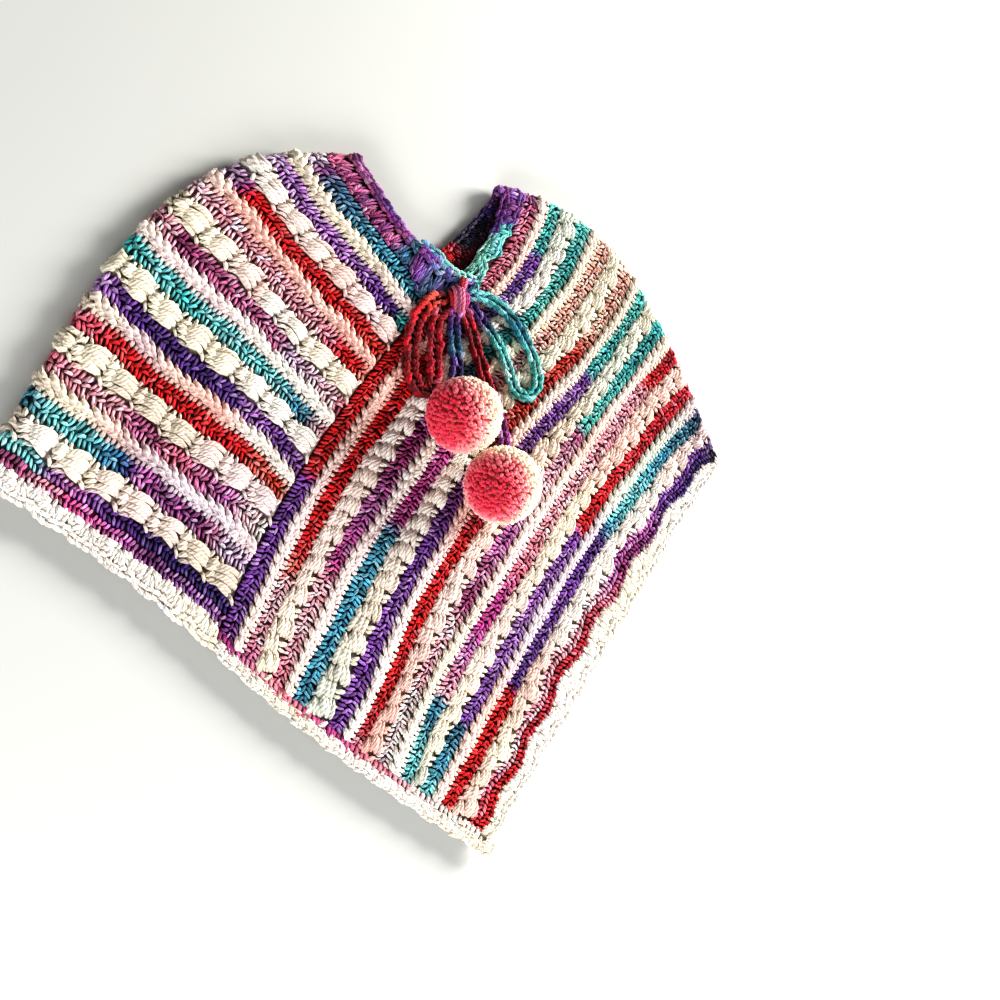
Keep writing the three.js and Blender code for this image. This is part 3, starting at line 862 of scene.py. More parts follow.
# %% A closed wall
def wall_arrays(cloth, across, rowwise, inner, outer, colour):
    """A closed wall between two distances from the cloth's middle, over a grid of a and p."""
    a, p = np.meshgrid(across, rowwise, indexing="ij")
    rows, columns = a.shape
    layers = [cloth.at(a, p, np.broadcast_to(out, a.shape) * MM).reshape(-1, 3) for out in (inner, outer)]
    index = np.arange(2 * rows * columns).reshape(2, rows, columns)
    quads = [
        (index[1, :-1, :-1], index[1, :-1, 1:], index[1, 1:, 1:], index[1, 1:, :-1]),
        (index[0, :-1, :-1], index[0, 1:, :-1], index[0, 1:, 1:], index[0, :-1, 1:]),
        (index[0, 0, :-1], index[0, 0, 1:], index[1, 0, 1:], index[1, 0, :-1]),
        (index[0, -1, :-1], index[1, -1, :-1], index[1, -1, 1:], index[0, -1, 1:]),
        (index[0, :-1, 0], index[1, :-1, 0], index[1, 1:, 0], index[0, 1:, 0]),
        (index[0, :-1, -1], index[0, 1:, -1], index[1, 1:, -1], index[1, :-1, -1]),
    ]
    corners = np.concatenate([np.stack([part.ravel() for part in quad], axis=1) for quad in quads])
    faces = np.concatenate([corners[:, [0, 1, 2]], corners[:, [0, 2, 3]]])
    if cloth.name == "left":
        faces = faces[:, ::-1]
    return np.concatenate(layers), faces, np.tile(colour(a, p).reshape(-1, 3), (2, 1))

# %% The two panels
GROUND_SHADE = 0.19
PALE_SHADE = 0.46
PALE_KINDS = ("ridge", "cluster")


def ground_colour(cloth):
    """The shaded colour of the cloth under the stitches, at a and p."""
    def colour(a, p):
        straight = a
        for _ in range(5):
            straight = straight - (course(cloth, straight, p) - a)
        row = np.clip(np.searchsorted(ROW_EDGES, straight, side="right"), 1, len(ROW_KINDS))
        share = cloth.way(p)
        shown = np.zeros(a.shape + (3,))
        for number, kind in enumerate(ROW_KINDS, start=1):
            here = row == number
            shade = PALE_SHADE if kind in PALE_KINDS else GROUND_SHADE
            shown[here] = row_colour(cloth.name, number, share[here]) * shade
        shown[straight > 1] = YARN["ecru"] * PALE_SHADE
        return shown
    return colour


def through_fold(start, front, back, stop):
    """Places of p from start to stop, with front and back steps and eight round the fold."""
    return np.concatenate([np.linspace(start, 1, front + 1), np.linspace(1, 2, 9)[1:],
                           np.linspace(2, stop, back + 1)[1:]])


RUNS = {"left": through_fold(0.002, 36, 70, 3), "right": through_fold(0, 70, 36, 2.998)}
for side, cloth in CLOTHS.items():
    across = np.linspace(0, 1, 89)
    make_mesh(f"{side}_cloth", cotton_ground, *wall_arrays(
        cloth, across, RUNS[side], -1.9, GROUND_TOP, ground_colour(cloth)))
    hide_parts(f"panel_{side}")

# %% [markdown]
# ## Stitches
#
# A real stitch is one looped yarn, and it could be drawn as one long curve. Only the
# parts on top are seen, so here a stitch is a few short strands, which are light and
# easy to place. A strand goes from one place over a second to a third, in flat
# millimetres: x along the row, y towards the neck and z out of the cloth. It also has
# a thickness, and some are made of two threads side by side.
# - Rows of colour are half trebles: two columns of slanting strands that meet.
# - Ridges are doubles: a chain along the row with prongs into both its neighbours.
# - Clusters are loops gathered to a tip, so each is a fan of long strands. The two
#   panels are worked in opposite directions, so their fans lean differently.

# %% Stitch tables
COLUMNS = ("from", "over", "to", "thick", "threads")


def strands(*rows):
    """A table of strands whose rows hold the columns above; threads may be left out."""
    return [dict(zip(COLUMNS, row)) for row in rows]


STITCHES = {
    "colour": {"pitch": 5.3, "turn": 13, "strands": strands(
        ((0.2, 5.8, 0), (1, 3.4, 1.6), (2.5, 0.6, 0.3), 1.9),
        ((2.8, 5.8, 0), (3.8, 3.2, 1.8), (5.1, 0.4, 0.3), 2),
        ((0, 0.9, 0.6), (2.3, 0.3, 2), (4.7, -0.8, 0.6), 1.9),
        ((1.8, -0.2, 0.2), (1.3, -2.8, 1.7), (0.3, -5.8, 0), 1.9),
        ((4.6, -0.4, 0.2), (4.1, -3, 1.5), (3, -5.8, 0), 1.9))},
    "narrow": {"pitch": 5.3, "turn": 11, "strands": strands(
        ((0, 3.6, 0), (0.7, 1.8, 1.5), (2, 0, 0.3), 1.9),
        ((2.7, 3.4, 0), (3.5, 1.7, 1.4), (4.6, -0.2, 0.3), 1.9),
        ((1.7, 0.2, 0.3), (1.2, -1.7, 1.5), (0.2, -3.7, 0), 1.9),
        ((4.4, 0, 0.3), (3.9, -1.8, 1.4), (2.9, -3.8, 0), 1.9))},
    "ridge": {"pitch": 6.5, "turn": 8, "strands": strands(
        ((0.2, -0.4, 0.6), (2.6, 2, 2.4), (5.2, 4.4, 0.3), 4.4),
        ((3.2, -1.2, 0.6), (5.4, 0.5, 2.3), (8.4, 1.6, 0.6), 4.1),
        ((-0.8, -1.5, 0.5), (2.8, -1.3, 2), (6.4, -1.5, 0.5), 3.7),
        ((0.5, -1.8, 0.6), (0.8, -3.5, 1.9), (1.5, -5.2, 0.3), 2.7),
        ((3.7, -1.8, 0.6), (3.9, -3.5, 1.9), (4.8, -5.2, 0.3), 2.7),
        ((5, 2.6, 0.5), (5.9, 4.7, 1.5), (6.9, 6.4, 0.3), 2))},
    "cluster_right": {"pitch": 20.3, "turn": 7, "strands": strands(
        ((22.4, 0.4, 0.3), (17, 0.8, 3.1), (11.2, -1.6, 0.6), 5.6, 2),
        ((21, 4.4, 0.3), (15.6, 4.6, 2.6), (9.8, 3, 0.6), 5, 2),
        ((13.4, -2, 0.6), (8.6, -4.6, 2.8), (2.8, -6.4, 0.3), 4.4, 2),
        ((13.8, 1.6, 0.6), (8, -0.6, 3.3), (2.6, -3.4, 0.6), 5.2, 2),
        ((9.8, 4.6, 0.4), (4.8, 3.2, 2.7), (0.8, -0.6, 0.5), 4.8, 2),
        ((5.8, 6.6, 0.2), (1.6, 5.4, 2), (-2.4, 2.8, 0.4), 3.8),
        ((-2.6, -1.6, 1), (-0.8, -4.4, 2.4), (1.2, -7.4, 0.5), 2.8),
        ((12.5, 5, 0.4), (11, 6.8, 1.6), (8.8, 8.2, 0.3), 2.6),
        ((19.2, 5.4, 0.4), (17.6, 7, 1.6), (15.4, 8.4, 0.3), 2.6),
        ((3.4, 5.8, 0.4), (2.2, 7.2, 1.4), (0.2, 8.4, 0.3), 2.4),
        ((9.6, -5.4, 0.4), (10.8, -6.8, 1.4), (12, -8.4, 0.3), 2.3),
        ((15.4, -2.6, 0.4), (16.6, -4.8, 1.4), (17.6, -7, 0.3), 2.5))},
    "cluster_left": {"pitch": 20.3, "turn": 6, "strands": strands(
        ((18.2, -0.8, 0.5), (9.6, 3.8, 2.9), (0.8, 3.6, 0.3), 5.4, 2),
        ((17.8, -2.4, 0.6), (9.2, 1, 3.3), (0.6, 0.6, 0.5), 5.2, 2),
        ((16.4, -3.8, 0.6), (8.8, -2, 3), (1.8, -2.2, 0.4), 5, 2),
        ((13.6, -5.2, 0.4), (8, -4.6, 2.2), (3.2, -4.2, 0.3), 3.9),
        ((21.4, 1.4, 0.6), (18.6, 2.6, 2.6), (15.4, 4, 1.4), 3.8),
        ((21.6, -1.4, 0.6), (18.8, -0.4, 2.8), (15.6, 0.6, 1.6), 3.8),
        ((20.8, -3.8, 0.6), (17.6, -2.4, 2.6), (14.6, -1, 1.6), 3.2),
        ((18.8, -6.2, 0.5), (15.8, -4.6, 2.4), (12.8, -3.2, 1.4), 2.7),
        ((17.2, -8, 0.4), (13.8, -6.8, 2), (10.2, -5.6, 0.8), 2.3),
        ((2.4, -4, 0.8), (0.4, -5.8, 2.2), (-1.6, -7.6, 0.5), 2.5),
        ((18.4, 1.4, 0.5), (18, 4, 1.9), (17.6, 6.8, 0.4), 3),
        ((13.6, 3.6, 0.4), (14.4, 5.6, 1.7), (15, 7.6, 0.3), 2.5),
        ((1.8, 3.8, 0.4), (1.2, 5.8, 1.7), (0.2, 8, 0.3), 2.6),
        ((7.4, 5.2, 0.4), (7, 6.6, 1.4), (6.2, 8, 0.3), 2.3))},
}
print({kind: len(table["strands"]) for kind, table in STITCHES.items()}, "strands a stitch")

# %% From tables to strands
THREAD_GAP = 0.46
THREAD_THICK = 0.72


def even_starts(start, stop, pitch):
    """Starts of whole stitches between two places, and the stretch that makes them fit."""
    count = max(1, round((stop - start) / pitch))
    return start + (stop - start) / count * np.arange(count), (stop - start) / (count * pitch)


def stitch_points(table, starts):
    """The three places of every strand of a stitch worked at each start: (N, 3, 3)."""
    shape, thick = [], []
    for strand in table:
        places = np.array([strand["from"], strand["over"], strand["to"]], float)
        way = places[2] - places[0]
        across = np.array([-way[1], way[0], 0]) / max(math.hypot(way[0], way[1]), 0.1)
        threads = strand.get("threads", 1)
        for k in range(threads):
            shape.append(places + across * (k - (threads - 1) / 2) * THREAD_GAP * strand["thick"])
            thick.append(strand["thick"] * (THREAD_THICK if threads == 2 else 1))
    points = np.tile(np.array(shape)[None], (len(starts), 1, 1, 1))
    points[..., 0] += np.asarray(starts)[:, None, None]
    return points.reshape(-1, 3, 3), np.tile(thick, len(starts))


print("a row of the left panel has", len(even_starts(0, 500, STITCHES["colour"]["pitch"])[0]), "stitches")

# %% Tension and dye
THICK_STRAND = 3.6


def loosen(points, thick, amount=0.3, turn=6):
    """Hand tension: every strand a little off its place, its direction and its thickness."""
    angle = np.radians(rng.normal(0, turn, len(points)))
    centre = points.mean(axis=1, keepdims=True)
    offset = points - centre
    cos, sin = np.cos(angle)[:, None], np.sin(angle)[:, None]
    turned = np.stack([offset[..., 0] * cos - offset[..., 1] * sin,
                       offset[..., 0] * sin + offset[..., 1] * cos, offset[..., 2]], axis=-1)
    points = centre + turned + rng.normal(0, amount, (len(points), 1, 3)) * (1, 1, 0.6)
    points = points + rng.normal(0, amount * 0.35, points.shape)
    return points, thick * rng.normal(1, 0.08, len(thick))


def dye(colours, spread=0.13, pale=0.0, deeper=0.0):
    """Small differences of shade from strand to strand, and some strands dyed paler."""
    shade = np.exp(rng.normal(-deeper, spread, (len(colours), 1)))
    fade = (rng.random((len(colours), 1)) < pale) * rng.uniform(0.1, 0.55, (len(colours), 1))
    return np.clip((colours * shade) ** (1 - fade) * (1 - 0.1 * fade) + 0.1 * fade, 0, 0.96)


def with_painted_end_shade(colours, grade):
    """Colours of the points of strands, with painted shade where a strand dives into the cloth and a little
    painted light over its raised middle; pale yarn gets less of both.
    """
    t = np.array(RINGS[grade])
    painted_end_shade = np.concatenate([[0.5], np.repeat(0.5 - 0.6 * np.sin(math.pi * t), SIDES[grade]), [0.5]])
    dyed = 1 - 0.75 * colours.mean(axis=1)
    return np.clip(colours[:, None] * (1 - painted_end_shade[None, :, None] * dyed[:, None, None]), 0, 0.97)


def lay(work, strip, points, thick, colours):
    """Adds strands to a piece. Those that rest on the table are drawn with fewer sides."""
    fine = strip.fine(points[:, 1])
    fat = fine & (thick > THICK_STRAND)
    for grade, chosen in (("fat", fat), ("fine", fine & ~fat), ("plain", ~fine)):
        if chosen.any():
            places, faces, twist = strand_tubes(points[chosen], thick[chosen], grade)
            # Each strand's colour gets painted shade at its ends and a little painted light over its
            # middle.
            work.add(strip.place(places), faces, with_painted_end_shade(colours[chosen], grade), twist * (1, 1, MM))


print("strands over", THICK_STRAND, "mm thick have", SIDES["fat"], "sides")

# %% Work the rows
REACH = {"ridge": 2.4, "cluster": 5.0}


def neighbour_tint(side, row, share, y, own):
    """Pale strands that reach into the next row of colour look tinted by it."""
    for way in (-1, 1):
        amount = 0.4 * smooth((way * y - REACH[ROW_KINDS[row - 1]]) / 3)[:, None]
        own = own * (1 - amount) + row_colour(side, row - way, share) * amount
    return own


for side, cloth in CLOTHS.items():
    works = {"colour": Work(), "ridge": Work(), "cluster": Work()}
    for number, kind in enumerate(ROW_KINDS, start=1):
        strip = Strip(cloth, ROW_MIDDLES[number - 1], worked=True)
        table = STITCHES[f"cluster_{side}" if kind == "cluster" else kind]
        starts, _ = even_starts(strip.x_at(0.0) + 0.6, strip.x_at(3.0) - 0.6, table["pitch"])
        points, thick = loosen(*stitch_points(table["strands"], starts), turn=table["turn"])
        share = points[:, 1, 0] / strip.x_at(1.5)
        own = row_colour(side, number, share)
        if kind in PALE_KINDS:
            dyed = dye(neighbour_tint(side, number, share, points[:, 1, 1], own), 0.05)
        else:
            dyed = dye(own, 0.3, 0.36)
        lay(works["colour" if kind == "narrow" else kind], strip, points, thick, dyed)
    for kind, work in works.items():
        piece = work.build(f"{side}_{kind}_rows", cotton_yarn)

# %% [markdown]
# ## Edgings
#
# The hem and both short ends have a round of shells: five trebles in one stitch, then
# a double. They stand up from y 0 at the cloth's edge, and a rim of chain loops runs
# over their tops, so the outline is gently scalloped. The neck has a round of tighter
# shells in the variegated yarn. An edging could be the last row of its panel, but it is
# worked on afterwards in its own yarn, so each is a piece of its own: a low wall of
# ground with its strands over it.

# %% Edging tables
SHELLS = {
    "hem": {"pitch": 20, "strands": strands(
        ((8.6, 0.8, 0.2), (5, 3.2, 1.5), (1.6, 7.4, 0.3), 4, 2),
        ((9.2, 1.2, 0.2), (6.8, 4.6, 1.8), (5.2, 9, 0.4), 4.1, 2),
        ((10, 1.2, 0.2), (10, 5, 2), (9.8, 9.6, 0.4), 4.2, 2),
        ((10.8, 1.2, 0.2), (13.2, 4.6, 1.8), (14.6, 9, 0.4), 4.1, 2),
        ((11.4, 0.8, 0.2), (15, 3.2, 1.5), (18.4, 7.4, 0.3), 4, 2),
        ((19.2, -1.8, 0.5), (20.2, 2, 1.9), (19.6, 6.4, 0.4), 4.1, 2),
        ((17.4, 0.4, 0.2), (18.2, 3.2, 1.4), (18.6, 6, 0.3), 3),
        ((1.2, 0.6, 0.2), (1.8, 3.2, 1.4), (1.4, 6.2, 0.3), 3),
        ((1.6, 0.2, 0.6), (4.6, 1.2, 1.8), (8.4, 0.2, 0.6), 3.2),
        ((11.4, 0.2, 0.6), (15, 1.2, 1.8), (18.6, 0.2, 0.6), 3.2),
        ((3.4, -1.5, 0.5), (4, 0.2, 1.6), (4.4, 2.6, 0.4), 2.8),
        ((9.6, -1.8, 0.5), (10.2, 0, 1.7), (10.2, 2.8, 0.4), 2.8),
        ((15.2, -1.4, 0.5), (16.2, 0.2, 1.6), (16.4, 2.6, 0.4), 2.8))},
    "neck": {"pitch": 9.4, "strands": strands(
        ((4, 1.4, 0.2), (1.8, 4.4, 1.6), (0.2, 9.4, 0.3), 2.3),
        ((4.4, 1.8, 0.3), (3, 6, 1.9), (2.2, 11.6, 0.4), 2.3),
        ((4.8, 2, 0.3), (4.9, 7, 2.1), (4.6, 12.8, 0.4), 2.4),
        ((5.2, 1.8, 0.3), (6.6, 6, 1.9), (7.2, 11.6, 0.4), 2.3),
        ((5.6, 1.4, 0.2), (7.8, 4.4, 1.6), (9.2, 9.4, 0.3), 2.3),
        ((9, 0.6, 0.4), (9.6, 3.6, 1.8), (9.3, 7.6, 0.3), 2.3),
        ((0.4, -0.6, 0.6), (1.6, 1.6, 1.6), (2.8, 3.8, 0.3), 2.1),
        ((6.8, 3.6, 0.3), (7.8, 1.4, 1.6), (8.4, -0.6, 0.6), 2.1),
        ((3.2, -0.4, 0.6), (4.8, 0.6, 1.5), (6.6, -0.4, 0.6), 2.1))},
}
RIM = {"pitch": 4.4, "strands": strands(
    ((-1, 1, 0.5), (2.2, 1.9, 1.5), (5.4, -0.2, 0.7), 3),
    ((-1, -1, 0.5), (2.2, -1.5, 1.8), (5.4, 0.4, 0.7), 3))}


print({kind: len(table["strands"]) for kind, table in SHELLS.items()}, "strands a shell")

# %% Making an edging
def shell_strands(kind, start, stop, wide, scallop=2.2):
    """The points and thickness of the strands of shells between two places of a strip."""
    table, pitch = SHELLS[kind]["strands"], SHELLS[kind]["pitch"]
    starts, stretch = even_starts(start, stop, pitch)
    points, thick = stitch_points(table, np.zeros(1))
    points[..., 0] *= stretch
    points = np.concatenate([points + (x, 0, 0) for x in starts])
    thick = np.tile(thick, len(starts))
    links, _ = even_starts(start, stop, RIM["pitch"])
    rim, rim_thick = stitch_points(RIM["strands"], links)
    wave = np.abs(np.sin(math.pi * (rim[..., 0] - start) / (pitch * stretch)))
    rim[..., 1] += wide - 1.6 - scallop * (1 - wave)
    return np.concatenate([points, rim]), np.concatenate([thick, rim_thick])


def edging(name, node, cloth, ground, parts, spread=0.3, pale=0.3):
    """One edging: a low wall of ground and the strands of its parts, with their strips."""
    work = Work()
    places, faces, colours = wall_arrays(cloth, *ground)
    work.add(places[None], faces, colours)
    for strip, points, thick, colour in parts:
        points, thick = loosen(points, thick)
        lay(work, strip, points, thick, dye(colour(points[:, 1]), spread, pale))
    piece = work.build(name, cotton_yarn)
    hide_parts(node)
    return piece


def plain_ground(yarn, shade):
    """The colour of an edging's ground: one yarn, shaded."""
    def colour(a, p):
        return np.broadcast_to(YARN[yarn] * shade, a.shape + (3,))

    return colour


print("100 mm of shells and rim have", len(shell_strands("hem", 0, 100, 12)[1]), "strands")

# %% Hem edgings
HEM_GROUND = np.array([0.3, 2.5, 5, 7.6])
ECRU_GROUND = plain_ground("ecru", PALE_SHADE)
HEM_YARN = chart_line("0 cream, 10 ecru, 30 ecru, 42 cream, 60 ecru, 100 ecru")


def between(line, start, stop):
    """The colours of a chart's line laid out between two places of a strip."""
    def colour(flat):
        return colour_at(line, (flat[..., 0] - start) / (stop - start))

    return colour


for side, cloth in CLOTHS.items():
    strip = Strip(cloth, 1.0, side=1, worked=True)
    ends = strip.x_at(0.0), strip.x_at(3.0)
    points, thick = shell_strands("hem", *ends, HEM)
    edging(
        f"{side}_hem_edging", f"hem_edging_{side}", cloth,
        (1 + HEM_GROUND / PANEL_WIDTH, RUNS[side], -1.8, 0.4, ECRU_GROUND),
        [(strip, points * (1, 0.85, 1), thick, between(HEM_YARN, 0, ends[1]))], 0.1, 0)

# %% Edgings of the short ends
END_SHELLS = chart_line("0 ecru, 30 cream, 50 ecru, 70 ecru, 100 cream")
END_ROW = chart_line("0 dark_magenta, 6 magenta, 16 pink, 30 rose, 42 magenta, 55 rose, 68 pink, "
                     "80 blush, 90 ecru, 100 ecru")
DOUBLES = strands(
    ((0, -1.8, 0.5), (1.2, 0.6, 1.7), (1, 3.4, 0.4), 2.7),
    ((2.6, -1, 0.4), (2, 1.2, 1.5), (3, 3.8, 0.4), 2.4),
    ((-0.6, 3.2, 0.7), (1.8, 4, 1.5), (4.2, 3.2, 0.7), 2.2))
DOUBLES_PITCH = 3.6
DOUBLES_HIGH = 3.2


def end_edging(name, node, cloth, end):
    """The edging of a short end: a row of doubles in colour and shells over it."""
    strip = EndStrip(cloth, end)
    whole = strip.x_at(1.0)
    ends = -0.5, whole + HEM
    row, row_thick = stitch_points(DOUBLES, even_starts(ends[0], whole, DOUBLES_PITCH)[0])
    shells, thick = shell_strands("hem", *ends, HEM - DOUBLES_HIGH)
    shells[..., 1] = shells[..., 1] * 0.74 + DOUBLES_HIGH
    steps = HEM_GROUND / strip.whole[len(strip.whole) // 2]
    across = np.linspace(0, 1 + HEM_GROUND[-1] / PANEL_WIDTH, 60)
    ground = across, np.sort(end + strip.away * steps), -1.8, 0.4, ECRU_GROUND
    return edging(name, node, cloth, ground, [
        (strip, row, row_thick, between(END_ROW, 0, whole)),
        (strip, shells, thick, between(END_SHELLS, 0, whole))], 0.12, 0)


end_edging("front_end_edging", "hem_edging_front_end", CLOTHS["right"], 0)
end_edging("back_end_edging", "hem_edging_back_end", CLOTHS["left"], 3)

# %% [markdown]
# ## Neck edgings
#
# On the left of the V the neck's shells stand up in plain view. On the right they are
# turned over onto the front, so that their tops point down the cloth. Behind the V
# the inside of the back's edging shows, so its stitches are on the side that faces up.
# One edging round the whole neck would have to fold and twist on its way, so each of
# the three stretches is a piece with a strip of its own.

# %% Standing edging
SHELL_HIGH = 16
RIM_HIGH = 15.2
NECK_GROUND = np.array([13.4, 9, 4.5, 0.3])
NECK_CHART = chart_line("0 teal, 10 deep_teal, 15 purple, 20 deep_purple, 27 slate, 33 deep_teal, "
                        "38 plum, 45 mauve, 52 plum, 60 dark_magenta, 66 mauve, 72 plum, 80 mauve, "
                        "88 dark_magenta, 96 mauve, 110 rose, 150 pale_pink, 180 purple, "
                        "240 deep_purple")
NECK_RIM_CHART = chart_line("0 mint, 25 teal, 33 slate, 42 plum, 60 deep_purple, 80 plum, 240 plum")


def chain_line(start, stop, y, z=0.6):
    """A line of chain stitches between two places of a strip, at a height y."""
    points, thick = stitch_points(RIM["strands"], even_starts(start, stop, RIM["pitch"])[0])
    return points + (0, y, z), thick * 0.86


cloth = CLOTHS["left"]
strip = Strip(cloth, 0.0)
front_whole = strip.x_at(1.0)
start = 1 / front_neck_left.length
stop = 2 + (back_neck_left.length - 20) / (back_neck_left.length + back_seam.length)
ends = strip.x_at(start), strip.x_at(stop)
shells = shell_strands("neck", *ends, SHELL_HIGH, 1.4)
rim = chain_line(*ends, RIM_HIGH)
ground = (-NECK_GROUND / PANEL_WIDTH, through_fold(start, 25, 25, stop), -1.8, 0.3,
          plain_ground("plum", GROUND_SHADE))
edging("neck_edging_standing", "neck_edging_left", cloth, ground, [
    (strip, *shells, between(NECK_CHART, 0, front_whole)),
    (strip, *rim, between(NECK_RIM_CHART, 0, front_whole))])

# %% Inside of the back
BACK_HIGH = 11
INSIDE_PITCH = 6.4
# Deep in the neck's opening the yarn is painted dark as shade: night over the middle of the back's edging,
# and the rows inside get a chart of night and dark red darkened to 0.7.
BACK_SHADED_CHART = chart_line("0 purple, 12 plum, 25 indigo, 40 night, 62 night, 68 dark_red, 75 red, 100 red")
shares, colours = chart_line("0 night, 60 night, 74 dark_red, 100 dark_red")
INSIDE_SHADE_CHART = shares, colours * 0.7

# Two rounds of shells, one on each side of the cloth, grow from the fold to their full
# height, and the first two rows show on the inside.
cloth = CLOTHS["right"]
outside = Strip(cloth, 0.0)
stop = 3 - 4 / back_neck_right.length
ends = outside.x_at(1.04), outside.x_at(stop)
parts = []
for strip, relief_kept in ((outside, 1), (Strip(cloth, 0.0, inside=True), 0.5)):
    points, thick = shell_strands("neck", *ends, SHELL_HIGH, 1.0)
    grown = 0.35 + 0.65 * smooth((points[..., 0] - ends[0]) / (0.45 * (ends[1] - ends[0])))
    points = points * (1, BACK_HIGH / SHELL_HIGH, relief_kept)
    points[..., 1] *= grown
    parts.append((strip, points, thick, between(BACK_SHADED_CHART, *ends)))
for row in (1, 2):
    strip = Strip(cloth, ROW_MIDDLES[row - 1], inside=True)
    table = STITCHES[ROW_KINDS[row - 1]]["strands"]
    points, thick = stitch_points(table, even_starts(*ends, INSIDE_PITCH)[0])
    parts.append((strip, points * (1, 1, 0.7), thick, between(INSIDE_SHADE_CHART, *ends)))
ground = (-np.array([5, 3, 1.5, 0.3]) / PANEL_WIDTH, np.linspace(2, stop, 26), -1.7, 0.3,
          plain_ground("indigo", GROUND_SHADE))
edging("neck_edging_inside_out", "neck_edging_back", cloth,
                              ground, parts)

# %% Turned edging and the bottom of the V
TURNED_HIGH = 13
TURNED_STOP = 1.42
TURNED_LIFT = 2.2
TURNED_CHART = chart_line("0 mint, 14 mint, 27 sea, 40 aqua, 56 sea, 60 teal, 65 deep_purple, "
                          "80 plum, 90 purple, 100 violet")
TURNED_RIM_CHART = chart_line("0 mint, 45 mint, 55 deep_purple, 100 plum")
TURNED_WIDE = [(0, 0.42), (0.2, 0.5), (0.31, 0.98), (0.38, 0.98), (0.45, 0.6), (0.54, 1.0),
               (0.6, 0.8), (0.67, 1), (1, 1)]
V_BRIM = [(1, 163.5), (6.5, 161), (12.5, 157.5), (19.5, 150.8), (30.5, 146.6), (39.7, 145.7),
          (43.4, 153.2), (42, 161.8)]
V_FOOT = [(-6, 148), (-3, 137), (6, 128.5), (19, 130.5), (30, 133.5), (42, 141)]
V_CHART = chart_line("0 plum, 15 purple, 30 slate, 42 deep_purple, 55 deep_teal, 68 purple, 80 ocean, "
                     "100 sea")
V_BRIM_CHART = chart_line("0 slate, 16 ocean, 30 sea, 40 mint, 100 mint")


class Turned(SeenFromAbove):
    """The strip of the turned edging: y runs down the front and z is over the front."""

    def __init__(self, strip, start, stop):
        self.strip, self.start, self.whole = strip, start, stop - start

    def place(self, flat):
        share = (flat[..., 0] - self.start) / self.whole
        y = -flat[..., 1] * np.interp(share, *zip(*TURNED_WIDE))
        over = np.clip((flat[..., 1] + 1) / 4, 0, 1) * (1 - 0.7 * smooth((share - 0.85) / 0.1))
        z = flat[..., 2] + TURNED_LIFT * over
        return self.strip.place(np.stack([flat[..., 0], y, z], axis=-1))


class Valley(SeenFromAbove):
    """The strip of the V's bottom: x runs along it and y from its foot, 0, to its brim."""

    def __init__(self, foot, brim):
        self.foot, self.brim = foot, brim

    def place(self, flat):
        share = flat[..., 0] / self.brim.length
        low = self.foot.read(self.foot.line, share * self.foot.length)
        high = self.brim.read(self.brim.line, share * self.brim.length)
        places = low + (high - low) * flat[..., 1:2] / SHELL_HIGH
        places[..., 2] += flat[..., 2]
        return on_table(places)


brim = Route(V_BRIM, REST + 1.4)
valley = Valley(Route(V_FOOT, REST + 0.2), brim)
seam_share = front_seam.length / (front_seam.length + front_neck_right.length)
start = seam_share + 26 / (front_seam.length + front_neck_right.length)
ends = outside.x_at(start), outside.x_at(TURNED_STOP)
turned = Turned(outside, *ends)
valley_shells = shell_strands("neck", 0, brim.length, 15.0, 1.0)
points, thick = shell_strands("neck", *ends, 12.5 * SHELL_HIGH / TURNED_HIGH, 3.4)
ground = (np.array([1, 4, 6, 8]) / PANEL_WIDTH, np.linspace(start, TURNED_STOP, 34), 1.2, 1.9,
          plain_ground("deep_teal", GROUND_SHADE))
edging("neck_edging_turned_over", "neck_edging_turned", cloth,
                                ground, [
    (turned, points * (1, TURNED_HIGH / SHELL_HIGH, 1), thick, between(TURNED_CHART, *ends)),
    (turned, *chain_line(*ends, -0.6, 0.4), between(TURNED_RIM_CHART, *ends)),
    (brim, *chain_line(0, brim.length, 0.0, 0.0), between(V_BRIM_CHART, 0, brim.length)),
    (valley, *valley_shells, between(V_CHART, 0, brim.length))])

# %% [markdown]
# ## The drawstring
#
# The cord is a crochet chain. Its bow and tails lie on the front, on the routes that
# the solids have, and both tails end in a pom-pom. A chain could be a plain tube with
# a pattern, but its links show at its edges, so each length is a smooth core with the
# links' strands over it and beside it. The real chain lies flattened where it was
# pulled, so "wide" spreads the links and "aside" moves them off the core.

